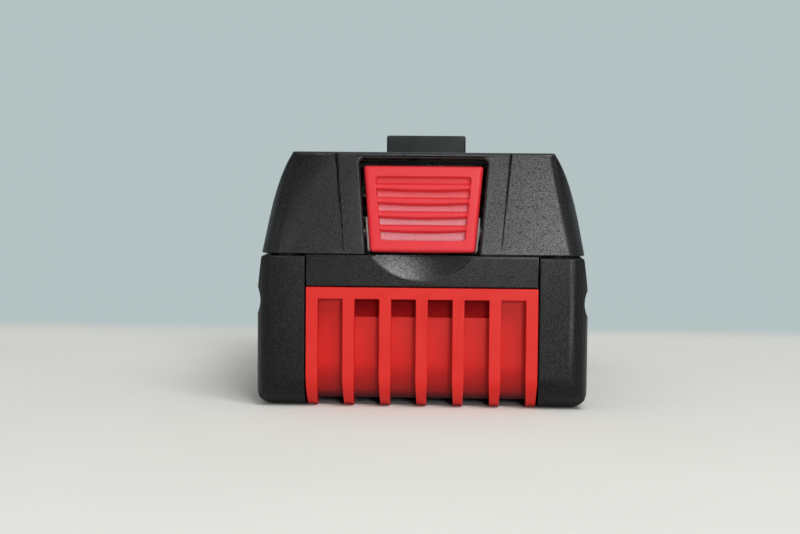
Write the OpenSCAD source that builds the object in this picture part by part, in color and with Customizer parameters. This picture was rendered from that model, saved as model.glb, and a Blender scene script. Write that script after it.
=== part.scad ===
// Slide-on battery pack for cordless power tools: ten cells in two rows inside a
// two-part black housing, red ribbed end inserts, side bumpers, slide rails on top
// and a red release button on the front end that rocks a sprung latch.
// The front end faces -Y. The origin is the middle of the footprint, on the surface
// that the pack stands on.

/* [Cells] */
// Diameter of one cell
cell_d = 21.2; // [20.6:0.1:21.6]
// Length of one cell
cell_len = 70.2; // [68:0.1:72]
// Free space between neighbouring cells
cell_gap = 0.8; // [0.6:0.1:1.2]
// Depth of the plastic holder around each end of the cells
holder_depth = 9; // [6:0.5:14]
// Thickness of the nickel bus bars
busbar_t = 0.3; // [0.2:0.05:0.5]
// Thickness of the insulating sheet over the bus bars
insulator_t = 0.4; // [0.2:0.05:0.6]

/* [Housing walls] */
// Thickness of the long side walls and of the rails
wall = 2.2; // [1.8:0.1:2.8]
// Thickness of the end walls of the lower housing
end_wall = 2; // [1.6:0.1:2.6]
// Thickness of the floor
floor_t = 3; // [1.8:0.1:4]
// Thickness of the roof plates
roof_t = 2.2; // [1.8:0.1:2.8]
// Height of the seam between the lower and the top housing
seam_z = 38.5; // [37:0.1:40]

/* [Side covers] */
// Thickness of a side cover
cover_t = 3.3; // [3:0.1:5]
// Thickness of the cover's lip under the floor
lip_t = 1.9; // [1.4:0.1:3]
// Gap between a side cover and the top housing
cover_gap = 0.45; // [0.4:0.05:1.2]
// Height of the finger groove's middle
groove_z = 26.7; // [22:0.1:28]
// Width of the finger groove
groove_w = 7; // [4:0.5:9]
// Depth of the finger groove
groove_depth = 1; // [0.3:0.1:1.2]
// Radius of the lower front and rear edges
sweep_r = 8; // [5:0.5:10]
// Radius of the long lower edges
sill_r = 5; // [2:0.2:5.6]

/* [End inserts] */
// Width of an end insert
insert_w = 58; // [54:0.5:60]
// Height of an end insert
insert_h = 30.3; // [28:0.1:32]
// Number of ribs
rib_count = 7; // [5:1:9]
// Width of a rib
rib_w = 3.05; // [2:0.05:3.5]
// Depth of the ribs in front of the panel
rib_depth = 4.6; // [3:0.1:6]
// Height of the rail that joins the rib tops
rib_rail_h = 2.9; // [2:0.1:4]
// Thickness of the panel behind the ribs
panel_t = 1.5; // [1.2:0.1:2.5]

/* [Top housing and rails] */
// Step from the side covers' widest point in to the top housing
side_step = 1; // [0.5:0.1:2]
// Draw-in of the sides from the seam to the top
side_draft = 4.85; // [3:0.05:6]
// Extra draw-in of the sides near the top
side_crown = 2.95; // [1:0.05:4]
// Lean of the front face in degrees
face_lean = 8; // [6:0.5:10]
// Length of the raised front end
nose_l = 22.3; // [21:0.1:25]
// Rise of the front end over the rail deck
nose_rise = 1.8; // [1:0.1:3]
// Half width of the neck under the rail flange
neck_hw = 24; // [23:0.5:25]
// Overhang of the rail flange
flange_out = 4; // [2.5:0.5:6]
// Height of the groove under the rail flange
rail_groove_h = 6; // [5:0.1:7]
// Thickness of the rail flange
flange_t = 4.3; // [4:0.1:5.5]
// Width of a contact slot
slot_w = 2.4; // [1.8:0.1:3]
// Spacing of the contact slots
slot_pitch = 7; // [6.4:0.1:7.5]

/* [Release latch] */
// Half width of the button at its bottom
button_low_hw = 13.1; // [12:0.1:13.5]
// Half width of the button at its top
button_top_hw = 15.1; // [14:0.1:16]
// Length of the button along the face
button_h = 22; // [20:0.2:22.4]
// Thickness of the button
button_t = 3; // [2.6:0.1:3.4]
// Gap between the button and its pocket
button_gap = 1.05; // [0.8:0.05:1.4]
// Width of the button's frame
button_rim = 2.7; // [2:0.1:3.5]
// Number of grip ridges
ridge_count = 4; // [3:1:5]
// Diameter of the pivot pin
pin_d = 2; // [1.6:0.1:2.4]
// Width of the latch lug
lug_w = 21; // [16:0.2:23]
// Length of the latch lug
lug_l = 10; // [8:0.5:10.5]
// Rise of the latch lug over the rail deck
lug_rise = 6.4; // [4:0.1:6.6]
// Outer diameter of the latch spring
spring_d = 7; // [6:0.1:7.4]
// Wire diameter of the latch spring
wire_d = 0.8; // [0.6:0.1:0.9]
// Turns of the latch spring
spring_turns = 6; // [5:1:6]

/* [Charge gauge] */
// Width of the gauge lens
lens_w = 30; // [26:0.5:34]
// Height of the gauge lens
lens_h = 4.6; // [3.6:0.2:5]
// Number of lights
light_count = 5; // [4:1:6]
// Width of the gauge push button
push_w = 8; // [6:0.5:10]

/* [Fits] */
// Clearance between a moving button and its opening
slide_fit = 0.3; // [0.2:0.05:0.5]
// Clearance of a turning pin, on the radius
pin_fit = 0.05; // [0.02:0.01:0.1]
// Clearance of parts that are put together and stay
seat_fit = 0.1; // [0.05:0.05:0.2]

/* [Hidden] */
$fn = 48;
arc_steps = 6;

// Cells: two rows of five, axes along X
cells_in_row = 5;
pitch = cell_d + cell_gap;
row_hl = (cells_in_row - 1) / 2 * pitch + cell_d / 2;
cell_rise = 0.7;
foot_h = lip_t + seat_fit;
floor_top = foot_h + floor_t;
low_row_z = floor_top + cell_rise + cell_d / 2;
top_row_z = low_row_z + pitch;
cell_top = top_row_z + cell_d / 2;

// Insulating sheets
top_sheet_t = 0.2;
sheet_in = 3;
sheet_r = 3;

// Inner and outer box of the lower housing
in_hw = cell_len / 2 + busbar_t + insulator_t + 2 * seat_fit;
in_hl = row_hl + 3 * seat_fit;
tub_hw = in_hw + wall;
tub_hl = in_hl + end_wall;
tub_top = seam_z - seat_fit;

// Outer box of the pack
pack_hw = tub_hw + seat_fit + cover_t;
panel_y = tub_hl + panel_t;
pack_hl = panel_y + rib_depth;

// Heights of the top housing
top_room = 0.9;
ceil_z = cell_top + top_room;
shelf_z = ceil_z + roof_t;
flange_z = shelf_z + rail_groove_h;
deck_z = flange_z + flange_t;
deck_under = deck_z - roof_t;
nose_z = deck_z + nose_rise;
nose_under = nose_z - roof_t;

// Plan of the top housing
face_step = 0.7;
face_hl = pack_hl - face_step;
nose_back = nose_l - face_hl;
rail_end = face_hl - 2.3;
rail_in_hw = neck_hw - wall;
hood_hw = pack_hw - side_step;
corner_r = 5;
edge_r = 1.2;
nose_cavity_hw = 30;

// Shallow bare recesses for a label under the floor and on the rail deck
label_depth = 0.4;
label_hw = 26;
label_hl = 40;
label_r = 3;

// Gasket in a rabbet of the rim
gasket_w = 0.9;
gasket_h = 0.9;

// Side covers
insert_hw = insert_w / 2;
cover_in = insert_hw + 3 * seat_fit;
cover_top = seam_z - cover_gap;
belt_z = groove_z + 2;
cover_top_in = 1.25;
groove_r = (pow(groove_w / 2, 2) + pow(groove_depth, 2)) / (2 * groove_depth);

// Housing screws, up through the lower housing's lugs into the top housing
screw_x = (cover_in + tub_hw) / 2;
screw_y = tub_hl + 2;
screw_r = 1.2;
screw_head_r = 1.8;
screw_head_h = 1.8;
screw_depth = 6;
socket_r = 1;
socket_depth = 1;
lug_r = screw_r + 1.3;
lug_low = cover_top - 2.4;

// End inserts, with a tongue behind each side cover
tongue_out = (screw_x - screw_r - insert_hw) * 0.6;
rib_pitch = (insert_w - rib_w) / (rib_count - 1);
tongue_z0 = 5;
tongue_z1 = 25;
window_hw = 25;
window_hh = 8;
pad_t = 0.8;
plug_y = row_hl + seat_fit + pad_t;
slot_depth = 1;
slot_h = 4.7;
panel_foot_z = foot_h + 1.9;
panel_bend_z = 10;
panel_lean = 0.9;
rib_foot = 5;

// Band over the end inserts and its finger scoop
band_y = pack_hl - 0.6;
band_z0 = insert_h + 2 * seat_fit;
scoop_r = 36;
scoop_z = seam_z + 10;
scoop_edge_r = 16.4;

// Latch, in the plane of the button
button_proud = 0.3;
button_tilt = 3;
button_v0 = 0.9;
button_r = 0.8;
recess_depth = 1;
recess_r = 1;
lever_t = 1.8;
wing_h = 9;
wing_w = 0.85;
wing_set = 1;
wing_r = 1.2;
lever_hw = 12;
peg_r = 1.5;
peg_x = 7;
peg_v = 11;

// Latch pivot, arms, hook and spring
pivot_y = -tub_hl + 0.5;
pivot_z = seam_z + 5.4;
pin_r = pin_d / 2;
boss_r = pin_r + 0.9;
boss_hw = button_low_hw + 1.4;
ear_t = 2.6;
ear_rear = -in_hl + 0.5;
arm_x0 = 7;
arm_t = 3;
arm_top = deck_under - 1.6;
arm_low = deck_under - 6.2;
arm_end_low = deck_under - 4.2;
hook_y0 = nose_back + 9;
hook_y1 = hook_y0 + lug_l;
hook_low = deck_under - 1.6;
hook_crest = 2.4;
hook_nose = 0.5;
tongue_l = 4;
tongue_h = 1.8;
lug_top = deck_z + lug_rise;
latch_swing = 13;
window_y0 = hook_y0 - 2 * slide_fit;
window_y1 = hook_y1 + (lug_top - pivot_z) * sin(latch_swing) - 1;
spring_z = deck_under - 3.3;
seat_rib_y0 = nose_back - 4;
seat_rib_t = 2;
seat_rib_hw = 5;
spring_seat_y = pivot_y + 3;
stud_r = spring_d / 2 - wire_d - 0.6;
tip_stud_r = spring_d / 2 - wire_d - 1.5;
stud_l = 1.8;
spring_rings = 8;
spring_sides = 6;

// Circuit board, screwed to posts under the deck
board_hw = rail_in_hw - 1.2;
board_y0 = window_y1 + 4;
board_y1 = rail_end - wall - 1.5;
board_t = 1.6;
board_top = deck_under - 5.7;
board_low = board_top - board_t;
post_r = 2.4;
post_x = board_hw - 3;
post_in = 4;
post_span = 36;
post_ys = [board_y0 + post_in, board_y0 + post_in + post_span];
board_screw_r = 1;
board_head_r = 2;
board_head_h = 1.2;

// Parts on the board, at their distances from its front edge
transistor_x = 8.5;
transistor_hw = 4.5;
transistor_h = 2.3;
transistor_y = board_y0 + 12;
transistor_pitch = 12;
tab_hw = 3.5;
tab_out = 1;
tab_h = 1.2;
thermistor_y = board_y0 + 20;
bead_r = 1.2;
bead_hw = 2.5;
lead_r = 0.3;
chip_hw = 5;
chip_h = 1.4;
chip_r = 0.4;
chip_y = board_y0 + 40;
capacitor_x = 9;
capacitor_r = 2.6;
capacitor_h = 4.6;

// Contacts and their block at the rear end
contact_count = 5;
leaf_t = 0.5;
blade_gap = 1;
contact_l = 19;
contact_y1 = board_y1 - 2;
contact_y0 = contact_y1 - contact_l;
contact_h = deck_under - board_top - 0.7;
contact_base = 0.8;
block_end = 1.5;
chamber_w = 2 * leaf_t + blade_gap + 1;
block_hw = (contact_count - 1) / 2 * slot_pitch + chamber_w / 2 + 2;
block_top = deck_under - 2 * seat_fit;

// Bus bars: each bar joins the columns from first to last on one side of the cells
busbar_columns = [[1, 0, 1], [1, 2, 3], [1, 4, 4], [-1, 0, 0], [-1, 1, 2], [-1, 3, 4]];
busbar_margin = 6;
tab_w = 3.4;
tab_land = 8.2;
weld_slit_hw = 0.6;
weld_slit_hl = 3.5;
tab_x = board_hw - 2;
tab_turn_x = neck_hw + 3;
tab_z = cell_top + 0.35;

// Charge gauge on the rear face
gauge_z = (seam_z + ceil_z) / 2 + 0.6;
gauge_depth = 2;
gauge_hw = lens_w / 2 + push_w / 2 + 3;
lens_x = -(push_w / 2 + 2);
push_x = lens_w / 2 + 1;
push_travel = 0.8;
gauge_y = face_hl - gauge_depth;
gauge_board_t = 1;
gauge_board_y = in_hl + 0.9;
gauge_cell_h = lens_h + 2.4;

// Points of an outline with rounded corners: each point is [x, y, corner radius]
function flat(p) = [p[0], p[1]];
function unit(v) = v / norm(v);
function corner(a, p, b, r) =
    let(
        u = unit(a - p),
        v = unit(b - p),
        half = acos(u * v) / 2,
        centre = p + unit(u + v) * r / sin(half),
        start = p + u * r / tan(half) - centre,
        from = atan2(start[1], start[0]),
        sweep = (180 - 2 * half) * (cross(p - a, b - p) > 0 ? 1 : -1)
    )
    [for (i = [0:arc_steps])
        centre + r * [cos(from + sweep * i / arc_steps), sin(from + sweep * i / arc_steps)]];
function rounded(pts) =
    let(n = len(pts))
    [for (i = [0:n - 1])
        each pts[i][2] > 0
            ? corner(flat(pts[(i + n - 1) % n]), flat(pts[i]), flat(pts[(i + 1) % n]), pts[i][2])
            : [flat(pts[i])]];
function box_points(x0, x1, y0, y1, r) = [[x0, y0, r], [x1, y0, r], [x1, y1, r], [x0, y1, r]];
function taper_points(low_hw, top_hw, v0, v1, r) =
    [[-low_hw, v0, r], [low_hw, v0, r], [top_hw, v1, r], [-top_hw, v1, r]];

// Half width of the top housing at a height
function side_t(z) = (z - seam_z) / (nose_z - seam_z);
function side_half(z) = hood_hw - side_draft * side_t(z) - side_crown * pow(side_t(z), 4);

// Place of the front face at a height
function face_y(z) = -face_hl + (z - seam_z) * tan(face_lean);

module span(x0, x1, y0, y1, z0, z1) {
    translate([x0, y0, z0]) cube([x1 - x0, y1 - y0, z1 - z0]);
}
module along_x(x0, x1) {
    translate([x0, 0, 0]) rotate([90, 0, 90]) linear_extrude(x1 - x0) children();
}
module along_y(y0, y1) {
    translate([0, y1, 0]) rotate([90, 0, 0]) linear_extrude(y1 - y0) children();
}
module along_z(z0, z1) {
    translate([0, 0, z0]) linear_extrude(z1 - z0) children();
}
module rod_x(x0, x1, y, z, r) {
    translate([x0, y, z]) rotate([0, 90, 0]) cylinder(r = r, h = x1 - x0);
}
module rod_y(y0, y1, x, z, r) {
    translate([x, y0, z]) rotate([-90, 0, 0]) cylinder(r = r, h = y1 - y0);
}
module rod_z(z0, z1, x, y, r) {
    translate([x, y, z0]) cylinder(r = r, h = z1 - z0);
}
module both_sides() {
    children();
    mirror([1, 0, 0]) children();
}
module both_ends() {
    children();
    mirror([0, 1, 0]) children();
}

// Frames of the leaning front face and of the button: Y goes into the pack, Z up the face
module on_face() {
    translate([0, -face_hl, seam_z]) rotate([-face_lean, 0, 0]) children();
}
module on_button() {
    on_face() translate([0, -button_proud, 0]) rotate([-button_tilt, 0, 0]) children();
}

// Top housing
module top_section() {
    steps = 12;
    rise = nose_z - seam_z;
    right = [for (i = [0:steps]) [side_half(seam_z + rise * i / steps), seam_z + rise * i / steps]];
    left = [for (i = [steps:-1:0]) [-side_half(seam_z + rise * i / steps), seam_z + rise * i / steps]];
    polygon(concat(right, left));
}
module top_outline() {
    polygon(rounded([
        [-face_hl, seam_z, 0], [face_hl, seam_z, 0], [face_hl, shelf_z, 2.5], [nose_back, shelf_z, 1.5],
        [nose_back, nose_z, edge_r], [face_y(nose_z), nose_z, edge_r]
    ]));
}
module corner_prism() {
    lean_in = atan((side_draft + side_crown / 4) / (nose_z - seam_z));
    reach = 2 * pack_hl;
    translate([hood_hw + side_step / 4, -face_hl, seam_z])
        rotate([-face_lean, 0, 0])
            rotate([0, -lean_in, 0])
                along_z(-reach / 8, reach / 2)
                    polygon(rounded([
                        [-reach, 0, 0], [0, 0, corner_r], [reach / 8, 2 * reach, 0], [-reach, 2 * reach, 0]
                    ]));
}
module rear_prism() {
    along_z(seam_z - 1, nose_z + 1)
        polygon(rounded([
            [-pack_hw, -2 * pack_hl, 0], [pack_hw, -2 * pack_hl, 0],
            [pack_hw, face_hl, corner_r + 1], [-pack_hw, face_hl, corner_r + 1]
        ]));
}
module rails() {
    lead = 3;
    span(-neck_hw, neck_hw, nose_back - 1, rail_end, shelf_z - 1, flange_z + 1);
    along_z(flange_z, deck_z)
        polygon([
            [-neck_hw - flange_out, nose_back - 1], [neck_hw + flange_out, nose_back - 1],
            [neck_hw + flange_out, rail_end - 2 * lead], [neck_hw + flange_out - lead, rail_end],
            [-neck_hw - flange_out + lead, rail_end], [-neck_hw - flange_out, rail_end - 2 * lead]
        ]);
}
module top_cavity() {
    span(-in_hw, in_hw, -in_hl, in_hl, seam_z - 1, ceil_z);
    span(-rail_in_hw, rail_in_hw, nose_back - wall - 1, rail_end - wall, ceil_z - 1, deck_under);
    along_x(-nose_cavity_hw, nose_cavity_hw)
        polygon([
            [face_y(seam_z - 1) + wall, seam_z - 1], [nose_back - wall, seam_z - 1],
            [nose_back - wall, nose_under], [face_y(nose_under) + wall, nose_under]
        ]);
}
module pocket_cut() {
    low = button_low_hw + button_gap;
    high = button_top_hw + button_gap - 0.05;
    on_face()
        along_y(-2, 2 * wall)
            polygon(rounded(taper_points(low - 0.2, high, -3, button_v0 + button_h + 1.4, 1.2)));
}
module crease_cut() {
    top_x = 22;
    low_x = 19.7;
    top_half = 0.36;
    low_half = 0.15;
    low_v = 1.5;
    depth = 1.5;
    v1 = (nose_z - seam_z) / cos(face_lean) + 1;
    on_face()
        along_y(-1, depth)
            polygon([[low_x - low_half, low_v], [low_x + low_half, low_v], [top_x + top_half, v1],
                [top_x - top_half, v1]]);
}
module latch_ears() {
    both_sides() span(boss_hw + slide_fit, boss_hw + slide_fit + ear_t, face_y(pivot_z) + 1,
        ear_rear, pivot_z - 3, pivot_z + 4);
}
module spring_rib() {
    span(-seat_rib_hw, seat_rib_hw, seat_rib_y0, seat_rib_y0 + seat_rib_t, spring_z - 4, nose_under + 1);
    rod_y(seat_rib_y0 - stud_l, seat_rib_y0 + 1, 0, spring_z, stud_r);
}
module deck_recess() {
    hw = rail_in_hw - 2;
    along_z(deck_z - label_depth, deck_z + 1)
        polygon(rounded(box_points(-hw, hw, window_y1 + 5, contact_y0 - 5, label_r)));
}
module contact_slots() {
    for (i = [0:contact_count - 1]) {
        x = (i - (contact_count - 1) / 2) * slot_pitch;
        span(x - slot_w / 2, x + slot_w / 2, contact_y0 + 1, rail_end + 1, board_top + 1, deck_z + 1);
    }
}
module gauge_cuts() {
    half = gauge_cell_h / 2;
    span(-gauge_hw, gauge_hw, in_hl - 1, gauge_y, gauge_z - half, gauge_z + half);
    along_y(gauge_y - 1, face_hl + 1) {
        polygon(rounded(box_points(lens_x - lens_w / 2, lens_x + lens_w / 2,
            gauge_z - lens_h / 2, gauge_z + lens_h / 2, 1)));
        polygon(rounded(box_points(push_x - push_w / 2, push_x + push_w / 2,
            gauge_z - lens_h / 2, gauge_z + lens_h / 2, 1)));
    }
}
module top_housing() {
    color([0.2, 0.2, 0.2])
        difference() {
            union() {
                difference() {
                    union() {
                        intersection() {
                            along_y(-pack_hl, pack_hl) top_section();
                            along_x(-pack_hw, pack_hw) top_outline();
                            corner_prism();
                            mirror([1, 0, 0]) corner_prism();
                            rear_prism();
                        }
                        rails();
                    }
                    top_cavity();
                }
                latch_ears();
                spring_rib();
                both_sides() for (y = post_ys) rod_z(board_top, deck_under + 1, post_x, y, post_r);
            }
            pocket_cut();
            both_sides() crease_cut();
            rod_x(-boss_hw - ear_t, boss_hw + ear_t, pivot_y, pivot_z, pin_r + seat_fit / 4);
            span(-lug_w / 2 - 2 * slide_fit, lug_w / 2 + 2 * slide_fit, window_y0, window_y1,
                deck_under - 1, deck_z + 1);
            deck_recess();
            contact_slots();
            gauge_cuts();
            both_ends() both_sides() rod_z(seam_z - 1, seam_z + screw_depth + 0.5, screw_x, screw_y,
                screw_r + seat_fit / 2);
            both_sides() for (y = post_ys) rod_z(board_top - 1, deck_under - 1, post_x, y,
                board_screw_r + seat_fit / 2);
        }
}

// Lower housing: a tub with a band over each end insert and a screw lug at each corner
module screw_lug(gap, z0, z1) {
    rod_z(z0, z1, screw_x, screw_y, lug_r + gap);
    span(screw_x - lug_r * 0.8 - gap, screw_x + lug_r * 0.8 + gap, tub_hl - 1, screw_y, z0, z1);
}
module lower_housing() {
    color([0.19, 0.19, 0.19])
        difference() {
            union() {
                span(-tub_hw, tub_hw, -tub_hl, tub_hl, foot_h, tub_top);
                both_ends() span(-insert_hw, insert_hw, -band_y, -tub_hl + 1, band_z0, tub_top);
                both_ends() both_sides() screw_lug(0, lug_low, tub_top);
            }
            both_ends() both_sides() rod_z(lug_low - 1, seam_z, screw_x, screw_y, screw_r + seat_fit);
            span(-in_hw, in_hw, -in_hl, in_hl, floor_top, seam_z);
            both_ends() span(-window_hw, window_hw, -tub_hl - 1, -in_hl + 1,
                low_row_z - window_hh, low_row_z + window_hh);
            along_z(foot_h - 1, foot_h + label_depth)
                polygon(rounded(box_points(-label_hw, label_hw, -label_hl, label_hl, label_r)));
            span(-in_hw - gasket_w - seat_fit, in_hw + gasket_w + seat_fit, -in_hl - gasket_w - seat_fit,
                in_hl + gasket_w + seat_fit, seam_z - gasket_h, seam_z);
            translate([0, -band_y - sqrt(pow(scoop_r, 2) - pow(scoop_edge_r, 2)), scoop_z])
                sphere(r = scoop_r);
        }
}
module housing_gasket() {
    color([0.1, 0.1, 0.1])
        difference() {
            span(-in_hw - gasket_w, in_hw + gasket_w, -in_hl - gasket_w, in_hl + gasket_w,
                seam_z - gasket_h, seam_z);
            span(-in_hw, in_hw, -in_hl, in_hl, seam_z - 2 * gasket_h, seam_z + 1);
        }
}

// End inserts: a panel with a plug in the end wall's window, ribs and a top rail
module rib_profile() {
    polygon(rounded([
        [-tub_hl - 0.5, insert_h, 0], [-pack_hl, insert_h, 0], [-pack_hl, 0, sweep_r],
        [-tub_hl + rib_foot, 0, 0], [-tub_hl + rib_foot, lip_t, 0], [-tub_hl - 0.5, lip_t, 0]
    ]));
}
module panel_foot() {
    polygon([
        [-panel_y - panel_lean, foot_h - 1], [-tub_hl + 1, foot_h - 1], [-tub_hl + 1, panel_foot_z],
        [-panel_y + panel_lean, panel_foot_z], [-panel_y - panel_lean, 2 * panel_bend_z - panel_foot_z]
    ]);
}
module end_insert() {
    color([0.86, 0.2, 0.18])
        difference() {
            union() {
                span(-insert_hw, insert_hw, -panel_y, -tub_hl, foot_h, insert_h);
                span(-insert_hw - tongue_out, insert_hw + tongue_out, -panel_y, -tub_hl,
                    tongue_z0, tongue_z1);
                span(-insert_hw, insert_hw, -pack_hl, -panel_y + 0.5, insert_h - rib_rail_h, insert_h);
                span(-window_hw + seat_fit, window_hw - seat_fit, -tub_hl - 0.5, -plug_y,
                    low_row_z - window_hh + seat_fit, low_row_z + window_hh - seat_fit);
                for (i = [0:rib_count - 1])
                    along_x(-insert_hw + i * rib_pitch, -insert_hw + i * rib_pitch + rib_w) rib_profile();
            }
            for (i = [0:rib_count - 2]) {
                x0 = -insert_hw + i * rib_pitch + rib_w;
                x1 = x0 + rib_pitch - rib_w;
                along_x(x0, x1) panel_foot();
                if (i > 0 && i < rib_count - 2)
                    span(x0, x1, -panel_y - 1, -panel_y + slot_depth,
                        insert_h - rib_rail_h - slot_h, insert_h - rib_rail_h);
            }
        }
}
module front_insert() {
    end_insert();
}
module rear_insert() {
    mirror([0, 1, 0]) end_insert();
}

// Side covers: bumpers that wrap the corners and the floor's edges
module cover_section() {
    polygon(rounded([
        [cover_in, 0, 0], [pack_hw, 0, sill_r], [pack_hw, belt_z, 6],
        [pack_hw - cover_top_in, cover_top, 0.8], [cover_in, cover_top, 0]
    ]));
}
module side_cover() {
    color([0.17, 0.17, 0.175])
        difference() {
            intersection() {
                along_y(-pack_hl, pack_hl) cover_section();
                along_x(0, pack_hw) polygon(rounded([
                    [-pack_hl, 0, sweep_r], [pack_hl, 0, sweep_r],
                    [pack_hl, cover_top, 0.6], [-pack_hl, cover_top, 0.6]
                ]));
                along_z(-1, seam_z)
                    polygon(rounded(box_points(-pack_hw, pack_hw, -pack_hl, pack_hl, corner_r)));
            }
            rod_y(-2 * pack_hl, 2 * pack_hl, pack_hw + groove_r - groove_depth, groove_z, groove_r);
            span(0, tub_hw + seat_fit, -tub_hl - seat_fit, tub_hl + seat_fit, lip_t, seam_z);
            both_ends() span(0, insert_hw + tongue_out + seat_fit, -panel_y - seat_fit, -tub_hl + 1,
                tongue_z0 - seat_fit, tongue_z1 + seat_fit);
            both_ends() screw_lug(seat_fit, lug_low - seat_fit, seam_z);
            both_ends() rod_z(lug_low - screw_head_h - 2 * seat_fit, seam_z, screw_x, screw_y,
                screw_head_r + seat_fit);
        }
}
module right_side_cover() {
    side_cover();
}
module left_side_cover() {
    mirror([1, 0, 0]) side_cover();
}
module housing_screws() {
    color([0.45, 0.45, 0.47])
        both_ends() both_sides() difference() {
            union() {
                rod_z(lug_low - screw_head_h, lug_low, screw_x, screw_y, screw_head_r);
                rod_z(lug_low - 0.5, seam_z + screw_depth, screw_x, screw_y, screw_r);
            }
            translate([screw_x, screw_y, lug_low - screw_head_h - socket_depth])
                cylinder(r = socket_r, h = 2 * socket_depth, $fn = 6);
        }
}

// Release button: a framed trapezoid with grip ridges that step outwards
module release_button() {
    inner_low = button_low_hw - button_rim + 0.2;
    inner_top = button_top_hw - button_rim - 0.2;
    inner_v0 = button_v0 + button_rim + 0.3;
    inner_v1 = button_v0 + button_h - button_rim - 0.3;
    ridge_pitch = (inner_v1 - inner_v0) / (ridge_count + 0.55);
    color([0.9, 0.26, 0.27])
        on_button() {
            difference() {
                along_y(0, button_t)
                    polygon(rounded(taper_points(button_low_hw, button_top_hw, button_v0,
                        button_v0 + button_h, button_r)));
                along_y(-1, recess_depth)
                    polygon(rounded(taper_points(inner_low, inner_top, inner_v0, inner_v1, recess_r)));
            }
            intersection() {
                for (i = [0:ridge_count - 1]) {
                    v = inner_v0 + (i + 0.55) * ridge_pitch;
                    along_x(-button_top_hw, button_top_hw)
                        polygon([
                            [recess_depth + 0.5, v], [0.2, v], [0.2, v + ridge_pitch * 0.45],
                            [recess_depth, v + ridge_pitch * 0.9], [recess_depth + 0.5, v + ridge_pitch * 0.9]
                        ]);
                }
                along_y(-1, button_t)
                    polygon(rounded(taper_points(inner_low + 0.4, inner_top + 0.4, inner_v0, inner_v1, 0)));
            }
            both_sides() rod_y(button_t - 0.5, button_t + lever_t - 0.2, peg_x, peg_v, peg_r);
        }
}

// Latch lever: a plate behind the button with the pivot boss, two arms and the spring seat
module lever_plate() {
    low = button_low_hw + wing_w - 0.3;
    high = button_low_hw + wing_w + 0.4;
    v0 = button_v0 - 0.2;
    plate_v0 = v0 + 0.8;
    on_button() {
        difference() {
            union() {
                along_y(button_t, button_t + lever_t)
                    polygon(rounded(taper_points(lever_hw - 1, lever_hw, plate_v0,
                        button_v0 + button_h - 1.5, 1)));
                along_y(button_t - 0.5, button_t + lever_t)
                    polygon(rounded(taper_points(low, high, plate_v0, v0 + wing_h, 0)));
                along_y(wing_set, button_t) polygon(rounded([
                    [-low, v0, wing_r], [low, v0, wing_r], [high, v0 + wing_h, 0], [-high, v0 + wing_h, 0]
                ]));
            }
            along_y(-1, button_t)
                polygon(rounded(taper_points(button_low_hw - 0.1, button_top_hw + 0.2,
                    -1, button_v0 + button_h, 0)));
            both_sides() rod_y(button_t - 1, button_t + lever_t + 1, peg_x, peg_v, peg_r + seat_fit / 2);
        }
    }
}
module latch_lever() {
    tongue_z = arm_top - (arm_top - arm_end_low - tongue_h) / 2;
    color([0.62, 0.56, 0.55])
        difference() {
            union() {
                lever_plate();
                rod_x(-boss_hw, boss_hw, pivot_y, pivot_z, boss_r);
                both_sides() {
                    along_x(arm_x0, arm_x0 + arm_t) polygon([
                        [spring_seat_y - 1.8, arm_low], [hook_y0, arm_end_low], [hook_y0, arm_top],
                        [spring_seat_y - 1.8, arm_top]
                    ]);
                    span(arm_x0 + 0.5, arm_x0 + arm_t - 0.5, hook_y0 - 1, hook_y0 + tongue_l,
                        tongue_z - tongue_h, tongue_z);
                }
                rod_y(spring_seat_y - 1.6, spring_seat_y, 0, spring_z, spring_d / 2 + 0.2);
                rod_y(spring_seat_y - 0.5, spring_seat_y + stud_l, 0, spring_z, tip_stud_r);
            }
            rod_x(-boss_hw - 1, boss_hw + 1, pivot_y, pivot_z, pin_r + pin_fit);
        }
}
module latch_hook() {
    tongue_z = arm_top - (arm_top - arm_end_low - tongue_h) / 2;
    color([0.15, 0.16, 0.17])
        difference() {
            along_x(-lug_w / 2, lug_w / 2) polygon(rounded([
                [hook_y0, arm_end_low, 0], [hook_y1 - 1, hook_low, 0], [hook_y1, hook_low, 0],
                [hook_y1, deck_z + hook_nose, 0.4], [hook_y0 + hook_crest, lug_top, 1],
                [hook_y0, lug_top, 0.6]
            ]));
            both_sides() span(arm_x0 + 0.5 - seat_fit, arm_x0 + arm_t - 0.5 + seat_fit, hook_y0 - 1,
                hook_y0 + tongue_l + seat_fit, tongue_z - tongue_h - seat_fit, tongue_z + seat_fit);
        }
}
module latch_pin() {
    color([0.75, 0.75, 0.77])
        rod_x(-boss_hw - ear_t + 0.4, boss_hw + ear_t - 0.4, pivot_y, pivot_z, pin_r);
}

// Latch spring: one tube swept along a helix
spring_len = seat_rib_y0 - spring_seat_y - 2 * seat_fit;
spring_mean_r = (spring_d - wire_d) / 2;
spring_steps = spring_turns * spring_rings;
spring_rise = (spring_len - wire_d) / spring_turns;
function helix(i) =
    let(a = 360 * i / spring_rings)
    [spring_mean_r * cos(a), spring_seat_y + seat_fit + wire_d / 2 + spring_rise * i / spring_rings,
        spring_z + spring_mean_r * sin(a)];
function helix_ring(i) =
    let(
        a = 360 * i / spring_rings,
        out = [cos(a), 0, sin(a)],
        along = unit([-sin(a) * spring_mean_r * 2 * PI, spring_rise, cos(a) * spring_mean_r * 2 * PI]),
        side = cross(along, out)
    )
    [for (k = [0:spring_sides - 1])
        helix(i) + wire_d / 2 * (out * cos(360 * k / spring_sides) + side * sin(360 * k / spring_sides))];
spring_gap = min([
    for (i = [0:spring_steps - 1])
        for (j = [i + spring_rings / 2:spring_steps])
            norm(helix(i) - helix(j)) - wire_d
]);
echo(latch_spring_least_gap = spring_gap);
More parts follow.
